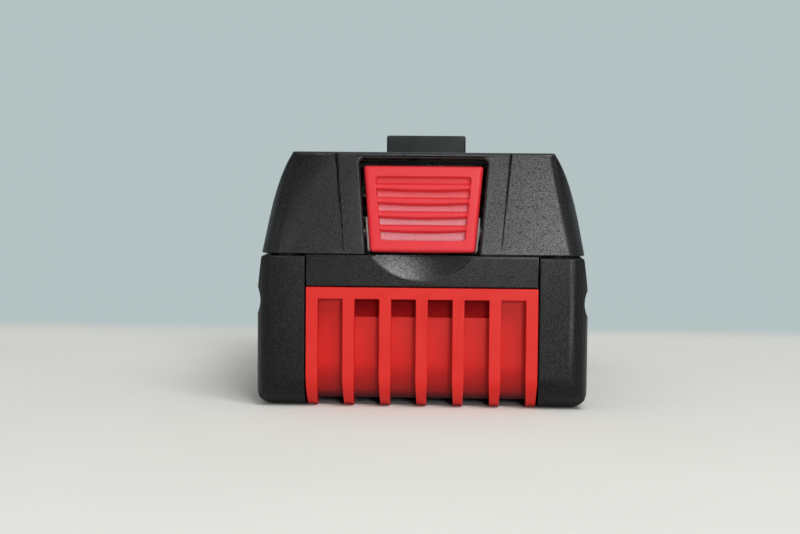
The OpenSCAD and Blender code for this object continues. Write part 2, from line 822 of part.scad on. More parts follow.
module latch_spring() {
    n = spring_sides;
    points = [for (i = [0:spring_steps]) each helix_ring(i)];
    walls = [
        for (i = [0:spring_steps - 1])
            for (k = [0:n - 1])
                each [
                    [i * n + k, (i + 1) * n + k, i * n + (k + 1) % n],
                    [i * n + (k + 1) % n, (i + 1) * n + k, (i + 1) * n + (k + 1) % n]
                ]
    ];
    first = [for (k = [1:n - 2]) [0, k, k + 1]];
    last = [for (k = [1:n - 2]) [spring_steps * n, spring_steps * n + k + 1, spring_steps * n + k]];
    color([0.7, 0.7, 0.72]) polyhedron(points = points, faces = concat(walls, first, last));
}

// Charge gauge behind the rear face
module gauge_lens() {
    gap = seat_fit;
    color([0.85, 0.87, 0.85])
        along_y(gauge_y, face_hl - seat_fit)
            polygon(rounded(box_points(lens_x - lens_w / 2 + gap, lens_x + lens_w / 2 - gap,
                gauge_z - lens_h / 2 + gap, gauge_z + lens_h / 2 - gap, 0.9)));
}
module gauge_button() {
    color([0.3, 0.3, 0.3]) {
        along_y(gauge_y - 0.2, face_hl + 0.3)
            polygon(rounded(box_points(push_x - push_w / 2 + slide_fit, push_x + push_w / 2 - slide_fit,
                gauge_z - lens_h / 2 + slide_fit, gauge_z + lens_h / 2 - slide_fit, 0.7)));
        rod_y(gauge_board_y + gauge_board_t + 1.2 + push_travel, gauge_y, push_x, gauge_z, 1.2);
    }
}
module gauge_board() {
    color([0.05, 0.3, 0.16])
        span(-gauge_hw + seat_fit, gauge_hw - seat_fit, gauge_board_y, gauge_board_y + gauge_board_t,
            gauge_z - gauge_cell_h / 2 + seat_fit / 2, gauge_z + gauge_cell_h / 2 - seat_fit);
}
module gauge_lights() {
    light_pitch = lens_w / light_count;
    color([0.95, 0.95, 0.8])
        for (i = [0:light_count - 1]) {
            x = lens_x - lens_w / 2 + light_pitch * (i + 0.5);
            span(x - 1.5, x + 1.5, gauge_board_y + gauge_board_t, gauge_y - 0.2,
                gauge_z - 0.8, gauge_z + 0.8);
        }
}
module gauge_switch() {
    color([0.6, 0.6, 0.62]) {
        span(push_x - 2, push_x + 2, gauge_board_y + gauge_board_t, gauge_board_y + gauge_board_t + 0.8,
            gauge_z - 1.8, gauge_z + 1.8);
        rod_y(gauge_board_y + gauge_board_t + 0.5, gauge_board_y + gauge_board_t + 1.1, push_x, gauge_z, 1);
    }
}

// Cells: steel can with a crimp groove and a raised positive cap
module cell(number) {
    column = (number - 1) % cells_in_row;
    z = number > cells_in_row ? top_row_z : low_row_z;
    y = (column - (cells_in_row - 1) / 2) * pitch;
    cap_r = 4;
    cap_h = 0.6;
    crimp = 3.5;
    crimp_w = 1.6;
    can_r = cell_d / 2;
    can_l = cell_len - cap_h;
    turn = column % 2 == 0 ? 1 : -1;
    color([0.16, 0.45, 0.55])
        translate([-turn * cell_len / 2, y, z]) rotate([0, turn * 90, 0])
            rotate_extrude() polygon([
                [0, 0], [can_r, 0], [can_r, can_l - crimp - crimp_w],
                [can_r - 0.5, can_l - crimp - crimp_w / 2],
                [can_r, can_l - crimp], [can_r, can_l], [cap_r, can_l], [cap_r, cell_len], [0, cell_len]
            ]);
}
module right_cell_holder() {
    bore_r = cell_d / 2 + seat_fit;
    color([0.25, 0.25, 0.27])
        difference() {
            span(cell_len / 2 - holder_depth, cell_len / 2 - 1, -row_hl + seat_fit, row_hl - seat_fit,
                floor_top, cell_top + seat_fit * 3);
            for (i = [0:cells_in_row - 1])
                for (z = [low_row_z, top_row_z])
                    rod_x(0, cell_len, (i - (cells_in_row - 1) / 2) * pitch, z, bore_r);
        }
}
module left_cell_holder() {
    mirror([1, 0, 0]) right_cell_holder();
}
module busbar(number) {
    bar = busbar_columns[number - 1];
    y0 = (bar[1] - (cells_in_row - 1) / 2) * pitch;
    y1 = (bar[2] - (cells_in_row - 1) / 2) * pitch;
    x0 = cell_len / 2;
    x1 = x0 + busbar_t;
    rise_y = y1;
    land_y = max(rise_y, board_y0 + tab_land);
    color([0.78, 0.76, 0.7])
        mirror([bar[0] > 0 ? 0 : 1, 0, 0]) {
            difference() {
                along_x(x0, x1) polygon(rounded(box_points(y0 - busbar_margin, y1 + busbar_margin,
                    low_row_z - busbar_margin, top_row_z + busbar_margin, 2)));
                for (i = [bar[1]:bar[2]])
                    for (z = [low_row_z, top_row_z])
                        span(x0 - 1, x1 + 1, (i - (cells_in_row - 1) / 2) * pitch - weld_slit_hw,
                            (i - (cells_in_row - 1) / 2) * pitch + weld_slit_hw,
                            z - weld_slit_hl, z + weld_slit_hl);
            }
            span(x0, x1, rise_y - tab_w / 2, rise_y + tab_w / 2, top_row_z, tab_z + busbar_t);
            span(tab_turn_x, x1, rise_y - tab_w / 2, rise_y + tab_w / 2, tab_z, tab_z + busbar_t);
            span(tab_turn_x, tab_turn_x + tab_w, rise_y - tab_w / 2, land_y + tab_w / 2,
                tab_z, tab_z + busbar_t);
            span(tab_x, tab_turn_x + 0.5, land_y - tab_w / 2, land_y + tab_w / 2, tab_z, tab_z + busbar_t);
            span(tab_x, tab_x + busbar_t, land_y - tab_w / 2, land_y + tab_w / 2, tab_z, board_low);
        }
}
module right_insulator() {
    x0 = cell_len / 2 + busbar_t;
    color([0.85, 0.82, 0.7])
        along_x(x0, x0 + insulator_t)
            polygon(rounded(box_points(-row_hl + sheet_in, row_hl - sheet_in, floor_top + 0.5,
                cell_top - 0.5, sheet_r)));
}
module left_insulator() {
    mirror([1, 0, 0]) right_insulator();
}
module top_insulator() {
    color([0.85, 0.82, 0.7])
        along_z(cell_top + seat_fit / 2, cell_top + seat_fit / 2 + top_sheet_t)
            polygon(rounded(box_points(-cell_len / 2 + holder_depth + 1, cell_len / 2 - holder_depth - 1,
                -row_hl + 2 * sheet_in, row_hl - sheet_in, sheet_r)));
}
module thermal_pad() {
    color([0.6, 0.62, 0.66])
        span(-window_hw + 0.5, window_hw - 0.5, -plug_y, -row_hl - seat_fit,
            low_row_z - window_hh + 0.5, low_row_z + window_hh - 0.5);
}
module front_thermal_pad() {
    thermal_pad();
}
module rear_thermal_pad() {
    mirror([0, 1, 0]) thermal_pad();
}
module thermistor() {
    z = cell_top + seat_fit + top_sheet_t + bead_r;
    color([0.2, 0.2, 0.2]) {
        rod_x(-bead_hw, bead_hw, thermistor_y, z, bead_r);
        both_sides() rod_z(z, board_low, bead_hw / 2, thermistor_y, lead_r);
    }
}

// Circuit board and what it carries
module circuit_board() {
    color([0.05, 0.3, 0.16])
        difference() {
            along_z(board_low, board_top)
                polygon(rounded(box_points(-board_hw, board_hw, board_y0, board_y1, 1.5)));
            both_sides() for (y = post_ys) rod_z(board_low - 1, board_top + 1, post_x, y,
                board_screw_r + seat_fit * 2);
        }
}
module board_screws() {
    color([0.7, 0.7, 0.72])
        both_sides() for (y = post_ys) {
            rod_z(board_low - board_head_h, board_low, post_x, y, board_head_r);
            rod_z(board_low - 0.5, deck_under - 1.5, post_x, y, board_screw_r);
        }
}
module power_transistors() {
    color([0.12, 0.12, 0.12])
        both_sides() for (i = [0:1]) {
            y = transistor_y + i * transistor_pitch;
            span(transistor_x - transistor_hw, transistor_x + transistor_hw, y - transistor_hw,
                y + transistor_hw, board_top, board_top + transistor_h);
            span(transistor_x - tab_hw, transistor_x + tab_hw, y, y + transistor_hw + tab_out,
                board_top, board_top + tab_h);
        }
}
module controller_chip() {
    color([0.1, 0.1, 0.1])
        along_z(board_top, board_top + chip_h)
            polygon(rounded(box_points(-chip_hw, chip_hw, chip_y - chip_hw, chip_y + chip_hw, chip_r)));
}
module capacitors() {
    color([0.3, 0.3, 0.5])
        both_sides() rod_z(board_top, board_top + capacitor_h, capacitor_x, chip_y, capacitor_r);
}
module terminal_block() {
    color([0.22, 0.22, 0.22])
        difference() {
            span(-block_hw, block_hw, contact_y0 - block_end, contact_y1 + block_end, board_top, block_top);
            for (i = [0:contact_count - 1]) {
                x = (i - (contact_count - 1) / 2) * slot_pitch;
                span(x - chamber_w / 2, x + chamber_w / 2, contact_y0 - seat_fit, contact_y1 + 2 * block_end,
                    board_top - 1, block_top + 1);
            }
        }
}
module contact(number) {
    x = (number - 1 - (contact_count - 1) / 2) * slot_pitch;
    half = blade_gap / 2 + leaf_t;
    color([0.8, 0.62, 0.35])
        translate([x, 0, 0]) difference() {
            span(-half, half, contact_y0, contact_y1, board_top, board_top + contact_h);
            span(-blade_gap / 2, blade_gap / 2, contact_y0 - 1, contact_y1 + 1,
                board_top + contact_base, board_top + contact_h + 1);
        }
}

top_housing();
lower_housing();
front_insert();
rear_insert();
left_side_cover();
right_side_cover();
housing_gasket();
housing_screws();
release_button();
latch_lever();
latch_hook();
latch_pin();
latch_spring();
gauge_lens();
gauge_button();
gauge_board();
gauge_lights();
gauge_switch();
for (i = [1:2 * cells_in_row])
    cell(i);
left_cell_holder();
right_cell_holder();
for (i = [1:len(busbar_columns)])
    busbar(i);
left_insulator();
right_insulator();
top_insulator();
front_thermal_pad();
rear_thermal_pad();
thermistor();
circuit_board();
board_screws();
power_transistors();
controller_chip();
capacitors();
terminal_block();
for (i = [1:contact_count])
    contact(i);
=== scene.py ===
"""Looks of a slide-on power tool battery pack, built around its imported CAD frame.

The file is laid out as an add-on: settings, one operator for each group of pieces and a
panel that lists them. Run as a script, it makes every piece in order. The front end, with
the release button, faces -Y, and the pack stands on the plane of the origin.
"""

import math

import bmesh
import bpy
from bpy.props import FloatProperty, IntProperty, PointerProperty, StringProperty
from mathutils import Matrix, Vector


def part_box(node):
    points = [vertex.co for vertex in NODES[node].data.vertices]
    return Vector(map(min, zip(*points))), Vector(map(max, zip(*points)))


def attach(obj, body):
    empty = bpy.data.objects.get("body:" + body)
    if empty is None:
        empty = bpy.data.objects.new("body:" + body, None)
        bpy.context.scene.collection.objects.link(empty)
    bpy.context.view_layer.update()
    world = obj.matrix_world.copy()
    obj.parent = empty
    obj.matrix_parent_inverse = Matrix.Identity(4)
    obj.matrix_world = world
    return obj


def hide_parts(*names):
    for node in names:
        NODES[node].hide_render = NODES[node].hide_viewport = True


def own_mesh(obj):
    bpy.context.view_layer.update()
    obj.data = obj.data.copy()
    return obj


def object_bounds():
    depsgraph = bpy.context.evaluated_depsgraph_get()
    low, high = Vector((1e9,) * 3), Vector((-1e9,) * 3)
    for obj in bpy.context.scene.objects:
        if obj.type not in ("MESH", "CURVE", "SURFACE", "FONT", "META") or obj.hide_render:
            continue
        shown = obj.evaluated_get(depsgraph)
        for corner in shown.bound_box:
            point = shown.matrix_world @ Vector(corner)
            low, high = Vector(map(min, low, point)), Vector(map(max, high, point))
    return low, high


bl_info = {
    "name": "Battery Pack Looks",
    "version": (1, 0, 0),
    "blender": (4, 5, 0),
    "location": "View3D > Sidebar > Pack",
    "description": "Dresses the CAD frame of a power tool battery pack and sets its stage",
    "category": "Object",
}

MM = 0.001
NEAR = 0.1 * MM
SENSOR_WIDTH = 36.0
SHARP_ANGLE = math.radians(20)
FLAT_ANGLE = math.radians(0.3)

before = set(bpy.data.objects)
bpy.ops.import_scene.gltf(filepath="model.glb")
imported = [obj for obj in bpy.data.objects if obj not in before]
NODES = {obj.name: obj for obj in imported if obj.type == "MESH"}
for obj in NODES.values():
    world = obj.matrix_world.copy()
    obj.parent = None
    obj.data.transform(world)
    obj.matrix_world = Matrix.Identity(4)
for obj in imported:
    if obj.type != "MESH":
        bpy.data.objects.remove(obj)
CAD_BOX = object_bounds()

# Places that several pieces share, read from the frame
TOP_LOW, TOP_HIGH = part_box("top_housing")
TUB_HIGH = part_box("lower_housing")[1]
INSERT_LOW, INSERT_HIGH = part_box("front_insert")
FACE_Y = TOP_LOW.y
SEAM_Z = TOP_LOW.z
FACE_LEAN = math.radians(8)


def length(name, description, mm):
    """A size setting, given in millimetres."""
    return FloatProperty(name=name, description=description, default=mm * MM, unit="LENGTH", precision=5)


def angle(name, description, degrees):
    """An angle setting, given in degrees."""
    return FloatProperty(name=name, description=description, default=math.radians(degrees), subtype="ANGLE")


def power(name, description, watts):
    """A light's power setting, given in watts."""
    return FloatProperty(name=name, description=description, default=watts, unit="POWER")


def tint(name, description, colour):
    """A colour setting as an sRGB hex value."""
    return StringProperty(name=name, description=description, default=colour)


class PackShapeSettings(bpy.types.PropertyGroup):
    """Sizes that the CAD frame leaves to the looks."""

    housing_edge: length("Housing edges", "Radius of the black housing's edges", 0.4)
    pocket_edge: length("Pocket edge", "Radius of the rim around the release button", 0.6)
    slot_edge: length("Slot edges", "Radius of the edges of slots and small openings", 0.25)
    scoop_edge: length("Scoop edge", "Radius of the finger scoop's rim", 0.25)
    seam_edge: length("Seam edge", "Radius of the lower housing's edge at the seam", 0.7)
    cover_edge: length("Cover edges", "Radius of the side covers' edges", 0.4)
    insert_edge: length("Insert edges", "Radius of the ribs' edges", 0.22)
    small_edge: length("Small edges", "Radius of the edges of small pieces", 0.2)
    lug_edge: length("Lug edges", "Radius of the latch lug's edges", 0.5)
    crease_top: length("Crease top", "Distance of a face crease from the middle at the top", 22)
    crease_low: length("Crease bottom", "Distance of a face crease from the middle at the seam", 19.7)
    cheek_sweep: angle("Cheek sweep", "Turn of the face outside the creases", 3)
    rib_count: IntProperty(name="Ribs", description="Number of ribs on an end insert", default=7)
    rib_width: length("Rib width", "Width of a rib", 3.05)
    rib_taper: length("Rib taper height", "Height over which the ribs narrow to their feet", 9)
    rib_foot: FloatProperty(
        name="Rib foot", description="Share of the rib's width left at its foot", default=0.8
    )
    rail_height: length("Rail height", "Height of the rail that joins the rib tops", 2.9)
    button_width_low: length("Button bottom width", "Half width of the button at its bottom", 13.1)
    button_width_top: length("Button top width", "Half width of the button at its top", 15.1)
    button_height: length("Button height", "Length of the button along the face", 21.8)
    button_frame: length("Button frame", "Width of the frame at the sides of the grip", 2.65)
    frame_top: length("Frame top", "Width of the frame over the grip", 2.65)
    frame_low: length("Frame bottom", "Width of the frame under the grip", 2.6)
    button_dish: length("Button dish", "Depth of the button's hollow front", 0.6)
    button_edge: length("Button edge", "Radius of the button's front edge", 1.0)
    grip_depth: length("Grip depth", "Depth of the grip's grooves behind the frame", 1.25)
    ridge_pitch: length("Ridge pitch", "Spacing of the grip ridges", 3.5)
    ridge_sag: length("Ridge sag", "Sag of a ridge's lower edge in the middle", 0.42)
    ridge_count: IntProperty(name="Ridges", description="Number of grip ridges", default=4)
    wire: length("Spring wire", "Diameter of the latch spring's wire", 0.8)
    coils: IntProperty(name="Spring coils", description="Turns of the latch spring", default=6)
    contact_pitch: length("Contact pitch", "Spacing of the contacts", 7)
    leaf: length("Contact leaf", "Thickness of a contact leaf", 0.5)


class PackColourSettings(bpy.types.PropertyGroup):
    """Colours of the finishes, as sRGB hex values."""

    housing: tint("Housing", "Grained black nylon of the housing", "#0e0e0f")
    cover: tint("Side cover", "Softer black of the side covers", "#0c0d0e")
    insert: tint("Insert", "Red of the end inserts", "#cc1f1a")
    button: tint("Button", "Red of the release button", "#d42730")
    lever: tint("Lever", "Natural acetal of the latch lever", "#a89c99")
    hook: tint("Hook", "Black acetal of the latch lug", "#0e1112")
    floor: tint("Floor", "Pale table", "#e2e2dc")
    backdrop: tint("Backdrop", "Pale grey-green wall", "#b4c2c3")


class PackStageSettings(bpy.types.PropertyGroup):
    """Camera and light of the picture."""

    distance: length("Camera distance", "From the front end to the camera", 427)
    side: length("Camera side", "How far the camera stands to the right", 10.5)
    height: length("Camera height", "Height of the camera over the table", 61.3)
    aim_x: length("Aim across", "Point on the front end in the middle of the picture, across", -5.5)
    aim_z: length("Aim up", "Point on the front end in the middle of the picture, height", 35.55)
    focal: FloatProperty(name="Focal length", description="Focal length in picture widths", default=2.15)
    roll: angle("Roll", "Turn of the camera about its axis", 0.5)
    key: power("Key light", "Power of the small low light at the right", 1.6)
    fill: power("Fill light", "Power of the soft light at the left", 0.3)
    top: power("Top light", "Power of the large soft light high at the front right", 25.5)
    world: FloatProperty(name="Room light", description="Strength of the light from above", default=0.31)


def shape():
    """The sizes in use."""
    return bpy.context.scene.pack_shape


def colours():
    """The colours in use."""
    return bpy.context.scene.pack_colours


def linear(colour):
    """An sRGB hex value as linear red, green, blue and alpha."""
    parts = [int(colour[i : i + 2], 16) / 255 for i in (1, 3, 5)]
    return tuple(c / 12.92 if c <= 0.04045 else ((c + 0.055) / 1.055) ** 2.4 for c in parts) + (1.0,)


def feed(tree, node, inputs):
    """Sets a node's inputs: a value, a socket or node to link, or a list of those for one socket.

    Of a node, the first enabled output is linked.
    """
    for name, given in inputs.items():
        for value in given if isinstance(given, list) else [given]:
            if isinstance(value, bpy.types.Node):
                value = next(socket for socket in value.outputs if socket.enabled)
            if isinstance(value, bpy.types.NodeSocket):
                tree.links.new(value, node.inputs[name])
            else:
                node.inputs[name].default_value = value


def add(tree, kind, inputs=None, **settings):
    """Adds a node to a tree: settings are its properties, inputs are fed to its sockets."""
    made = tree.nodes.new(kind)
    for name, value in settings.items():
        setattr(made, name, value)
    feed(tree, made, inputs or {})
    return made


# Finishes


def surface(
    name, colour, patch, patch_mm, grain_mm, relief_mm, rough, rubbed=None, glint=None, shader=None
):
    """A material with clouded colour, a grain that makes roughness and relief, and rubbed edges.

    The patches and the grain are given by their real size in millimetres. The grain is a soft
    noise, or with a glint it is packed round bumps whose tops shine more.
    """
    material = bpy.data.materials.new(name)
    material.use_nodes = True
    tree = material.node_tree
    tree.nodes.clear()
    middle = {"From Min": 0.3, "From Max": 0.7}
    place = add(tree, "ShaderNodeTexCoord").outputs["Object"]
    cloud = add(tree, "ShaderNodeTexNoise", {"Vector": place, "Scale": 1 / (patch_mm * MM), "Detail": 3.0})
    fine = {"Vector": place, "Scale": 1 / (grain_mm * MM)}
    if glint:
        cells = add(tree, "ShaderNodeTexVoronoi", fine)
        fall = add(tree, "ShaderNodeMath", {0: cells, 1: 2.0}, operation="POWER")
        grain = add(tree, "ShaderNodeMath", {0: 1.0, 1: fall}, operation="SUBTRACT")
    else:
        grain = add(tree, "ShaderNodeTexNoise", {**fine, "Detail": 1.0})
    spread = add(tree, "ShaderNodeMapRange", {"Value": cloud, **middle})
    shades = {"Factor": spread, "A": linear(colour), "B": linear(patch)}
    base = add(tree, "ShaderNodeMix", shades, data_type="RGBA")
    ends = {"To Min": rough[0], "To Max": rough[1]}
    gloss = add(tree, "ShaderNodeMapRange", {"Value": grain, **middle, **ends})
    if rubbed:
        wear = add(tree, "ShaderNodeAttribute", attribute_name="wear").outputs["Fac"]
        worn = add(tree, "ShaderNodeMath", {0: wear, 1: cloud}, operation="MULTIPLY")
        shades = {"Factor": worn, "A": base, "B": linear(rubbed)}
        base = add(tree, "ShaderNodeMix", shades, data_type="RGBA")
    bumps = {"Height": grain, "Distance": relief_mm * MM, "Strength": 1.0}
    relief = add(tree, "ShaderNodeBump", bumps)
    inputs = {"Base Color": base, "Roughness": gloss, "Normal": relief, **(shader or {})}
    if glint:
        tops = {"Value": grain, "From Min": 0.7, "To Min": glint * 0.75, "To Max": glint * 2.2}
        inputs["Specular IOR Level"] = add(tree, "ShaderNodeMapRange", tops)
    skin = add(tree, "ShaderNodeBsdfPrincipled", inputs)
    add(tree, "ShaderNodeOutputMaterial", {"Surface": skin})
    return material


def skin_of(material):
    """The tree of a material and its shader node."""
    tree = material.node_tree
    return tree, next(node for node in tree.nodes if node.bl_idname == "ShaderNodeBsdfPrincipled")


def lay_colour(material, mask, colour):
    """Lays a second colour over a finish as far as a mask says."""
    tree, skin = skin_of(material)
    under = skin.inputs["Base Color"].links[0].from_socket
    shades = {"Factor": mask, "A": under, "B": linear(colour)}
    feed(tree, skin, {"Base Color": add(tree, "ShaderNodeMix", shades, data_type="RGBA")})


def coordinates(tree):
    """The X, Y and Z of a piece's own coordinates."""
    place = add(tree, "ShaderNodeTexCoord").outputs["Object"]
    return add(tree, "ShaderNodeSeparateXYZ", {"Vector": place}).outputs


def rail_z():
    """Height of the underside of the inserts' top rail."""
    return INSERT_HIGH.z - shape().rail_height


def grained_nylon(name, glint):
    # Glass-filled nylon from a spark-eroded mould: deep black with a fine grain that glints, drawn
    # coarser than it is because the true grain is finer than a pixel
    black = colours().housing
    return surface(name, black, "#121213", 20, 0.27, 0.021, (0.24, 0.3), "#2c2c2d", glint)


def tub_nylon():
    # The same nylon a little duller, and polished by fingers where an attribute marks the scoop
    material = grained_nylon("Dull grained nylon", 0.25)
    tree, skin = skin_of(material)
    polish = add(tree, "ShaderNodeAttribute", attribute_name="polish").outputs["Fac"]
    gain = add(tree, "ShaderNodeMapRange", {"Value": polish, "To Min": 1.0, "To Max": 2.6})
    usual = skin.inputs["Specular IOR Level"].links[0].from_socket
    glint = add(tree, "ShaderNodeMath", {0: usual, 1: gain}, operation="MULTIPLY")
    feed(tree, skin, {"Specular IOR Level": glint})
    return material


def grained_bumper():
    # Rubber-modified ABS: a slightly bluer black, with a flatter grain that is drawn coarser too
    black = colours().cover
    return surface("Bumper ABS", black, "#101113", 24, 0.28, 0.016, (0.3, 0.38), "#262729", 0.21)


def satin_red_abs():
    # Polished-mould ABS: an even satin red with faint clouds, a lower sheen and painted deep red
    #     # shade in the slots, and painted shade that darkens the panel towards its foot
    red = colours().insert
    material = surface("Satin red ABS", red, "#d0221d", 9, 0.7, 0.004, (0.36, 0.45), "#d9302a")
    tree, skin = skin_of(material)
    height = coordinates(tree)["Z"]
    slot = {"From Min": rail_z() - 4.8 * MM, "From Max": rail_z() - 2.2 * MM, "To Min": 0.55}
    low = {"From Min": 11 * MM, "From Max": 4 * MM, "To Max": 0.62}
    foot = {"From Min": 4.2 * MM, "From Max": 2.6 * MM, "To Max": 0.36}
    slot_shade_grade, shade_above_foot, shade_at_foot = (
        add(tree, "ShaderNodeMapRange", {"Value": height, **ends}) for ends in (slot, low, foot)
    )
    recess = add(tree, "ShaderNodeAttribute", attribute_name="recess").outputs["Fac"]
    # Painted shade: deep red in the slots, darkest under the rail and lighter towards the slots' lower edge
    lay_colour(material, add(tree, "ShaderNodeMath", {0: recess, 1: slot_shade_grade}, operation="MULTIPLY"), "#860910")
    # Painted shade: the panel darkens from 11 mm down, and most in the strip at its foot
    panel = add(tree, "ShaderNodeAttribute", attribute_name="panel").outputs["Fac"]
    painted_foot_shade = add(tree, "ShaderNodeMath", {0: shade_above_foot, 1: shade_at_foot}, operation="ADD")
    lay_colour(material, add(tree, "ShaderNodeMath", {0: panel, 1: painted_foot_shade}, operation="MULTIPLY"), "#3c1016")
    sheen = add(tree, "ShaderNodeMapRange", {"Value": recess, "To Min": 0.2, "To Max": 0.03})
    feed(tree, skin, {"Specular IOR Level": sheen})
    return material


def grip_red_abs():
    # The same ABS, with a spark-eroded grit on the grip bands whose pale spots are partly real frosting and
    # partly painted sheen that grows towards the bottom
    material = surface(
        "Grip red ABS", colours().button, "#d72b34", 8, 0.35, 0.02, (0.4, 0.48), "#df3a40",
        shader={"Specular IOR Level": 0.36},
    )
    grit_mm, grit_relief_mm = 0.25, 0.1
    tree, skin = skin_of(material)
    band = add(tree, "ShaderNodeAttribute", attribute_name="grip").outputs["Fac"]
    place = add(tree, "ShaderNodeTexCoord").outputs["Object"]
    grit = add(tree, "ShaderNodeTexNoise", {"Vector": place, "Scale": 1 / (grit_mm * MM), "Detail": 2.0})
    height = add(tree, "ShaderNodeMath", {0: grit, 1: band}, operation="MULTIPLY")
    smooth = skin.inputs["Normal"].links[0].from_socket
    bumps = {"Height": height, "Distance": grit_relief_mm * MM, "Strength": 1.0, "Normal": smooth}
    feed(tree, skin, {"Normal": add(tree, "ShaderNodeBump", bumps)})
    low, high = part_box("release_button")
    ends = {"From Min": high.z - 4.5 * MM, "From Max": low.z + 7.5 * MM}
    painted_sheen_rise = add(tree, "ShaderNodeMapRange", {"Value": coordinates(tree)["Z"], **ends})
    spots = add(tree, "ShaderNodeMapRange", {"Value": height, "From Min": 0.15, "From Max": 0.85})
    # Pale spots on the bands: partly the grit's frosting, partly painted sheen, none near the top and most
    # towards the bottom
    lay_colour(material, add(tree, "ShaderNodeMath", {0: painted_sheen_rise, 1: spots}, operation="MULTIPLY"), "#bb99a3")
    return material


def natural_acetal():
    # Unpainted acetal: a waxy light grey that lets a little light in
    waxy = {"Subsurface Weight": 0.1, "Subsurface Scale": 0.001}
    grey = colours().lever
    return surface("Natural acetal", grey, "#b3a8a5", 6, 0.5, 0.004, (0.32, 0.45), shader=waxy)


def black_acetal():
    # Black acetal lug: smooth, with a soft sheen and faint sliding marks
    dull = {"Specular IOR Level": 0.2}
    black = colours().hook
    return surface("Black acetal", black, "#15191a", 5, 0.3, 0.008, (0.3, 0.42), "#3c4042", shader=dull)


METAL = {"Metallic": 1.0}


def spring_steel():
    # Drawn steel wire: bright, with faint drawing marks
    return surface("Spring steel", "#9b9b9e", "#b4b4b6", 2, 0.1, 0.002, (0.22, 0.38), shader=METAL)


def plated_steel():
    # Zinc-plated screws: bluish bright metal with a slightly milky plating
    return surface(
        "Plated steel", "#8f9196", "#a9aaad", 3, 0.2, 0.004, (0.28, 0.45), "#c2c3c5", shader=METAL
    )


def smoky_lens():
    # Tinted polycarbonate: glossy, dark, with a paler window in front of each light
    coat = {"Coat Weight": 0.4}
    material = surface(
        "Smoky polycarbonate", "#5c6260", "#666c6a", 10, 0.6, 0.001, (0.08, 0.14), shader=coat
    )
    tree = material.node_tree
    low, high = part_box("gauge_lens")
    lights = 5.0
    ends = {"From Min": low.x, "From Max": high.x, "To Max": lights}
    along = add(tree, "ShaderNodeMapRange", {"Value": coordinates(tree)["X"], **ends})
    share = add(tree, "ShaderNodeMath", {0: along}, operation="FRACT")
    off = add(tree, "ShaderNodeMath", {0: share, 1: 0.5}, operation="SUBTRACT")
    reach = add(tree, "ShaderNodeMath", {0: off}, operation="ABSOLUTE")
    rim = {"Value": reach, "From Min": 0.38, "From Max": 0.33}
    window = add(tree, "ShaderNodeMapRange", rim, interpolation_type="SMOOTHSTEP")
    lay_colour(material, window, "#b9beb9")
    return material


def silicone_key():
    # Silicone rubber push button: dark grey, matt and slightly dusty
    return surface("Silicone key", "#3b3c3e", "#444547", 3, 0.25, 0.01, (0.62, 0.8), "#5a5b5c")


def board_laminate():
    # Glass-fibre laminate under green solder mask, with brighter copper tracks showing through
    material = surface("Board laminate", "#0b4a2b", "#0e5531", 6, 0.4, 0.004, (0.22, 0.34))
    tree = material.node_tree
    track_mm = 8
    place = add(tree, "ShaderNodeTexCoord").outputs["Object"]
    rows = {"Vector": place, "Scale": 1 / (track_mm * MM), "Mortar Size": 0.035}
    lay_colour(material, add(tree, "ShaderNodeTexBrick", rows).outputs["Fac"], "#1c7a45")
    return material


def light_resin():
    # Cast resin of the lights: warm milky yellow and glossy
    milky = {"Subsurface Weight": 0.3, "Subsurface Scale": 0.001}
    return surface("Light resin", "#e8e4c4", "#efe9cf", 1.5, 0.2, 0.001, (0.12, 0.2), shader=milky)


def chip_epoxy():
    # Moulded epoxy: dull black with a fine sandy grain
    return surface("Chip epoxy", "#161617", "#1d1d1e", 3, 0.12, 0.006, (0.5, 0.68))


def cell_sleeve():
    # Shrink sleeve over a steel can: tight glossy film, with bare metal at both ends
    material = surface("Cell sleeve", "#1f6a78", "#226f7d", 15, 1.2, 0.004, (0.2, 0.32))
    tree, skin = skin_of(material)
    bare_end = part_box("cell_1")[1].x - 0.9 * MM
    out = add(tree, "ShaderNodeMath", {0: coordinates(tree)["X"]}, operation="ABSOLUTE")
    bare = add(tree, "ShaderNodeMath", {0: out, 1: bare_end}, operation="GREATER_THAN")
    lay_colour(material, bare, "#a9a9a6")
    feed(tree, skin, {"Metallic": bare})
    return material


def holder_plastic():
    # Flame-retardant polycarbonate blend: dark grey, smooth moulding
    return surface("Holder plastic", "#3a3a3d", "#414144", 14, 0.5, 0.006, (0.4, 0.55))


def nickel_strip():
    # Rolled nickel strip: warm silver with fine rolling marks
    return surface("Nickel strip", "#a8a396", "#b9b4a7", 4, 0.15, 0.003, (0.25, 0.42), shader=METAL)


def pressed_paper():
    # Pressed insulating paper: pale, fibrous and dull
    return surface("Pressed paper", "#cfc7a8", "#d9d2b6", 2.5, 0.25, 0.02, (0.75, 0.9))


def thermal_silicone():
    # Filled silicone pad: soft blue-grey, dull
    return surface("Thermal silicone", "#8f949c", "#9aa0a7", 5, 0.4, 0.015, (0.7, 0.85))


def capacitor_can():
    # Printed film over an aluminium can: dark blue and glossy
    return surface("Capacitor can", "#2b2f55", "#32365e", 4, 0.3, 0.003, (0.25, 0.38))


def contact_bronze():
    # Phosphor bronze spring contacts: warm metal; its brighter rubbed colour needs a wear attribute, which
    # the contact row doesn't store
    return surface(
        "Contact bronze", "#b98a4e", "#c89a5e", 2, 0.12, 0.003, (0.2, 0.36), "#d8b27c", shader=METAL
    )


def block_plastic():
    # Glass-filled polyester of the terminal block: black, slightly fibrous
    return surface("Block plastic", "#1d1d1e", "#252526", 4, 0.2, 0.01, (0.45, 0.6), "#39393a")


def seal_rubber():
    # Moulded sealing rubber: deep black and dull
    return surface("Seal rubber", "#101011", "#151516", 6, 0.3, 0.01, (0.7, 0.85))


# Mesh helpers


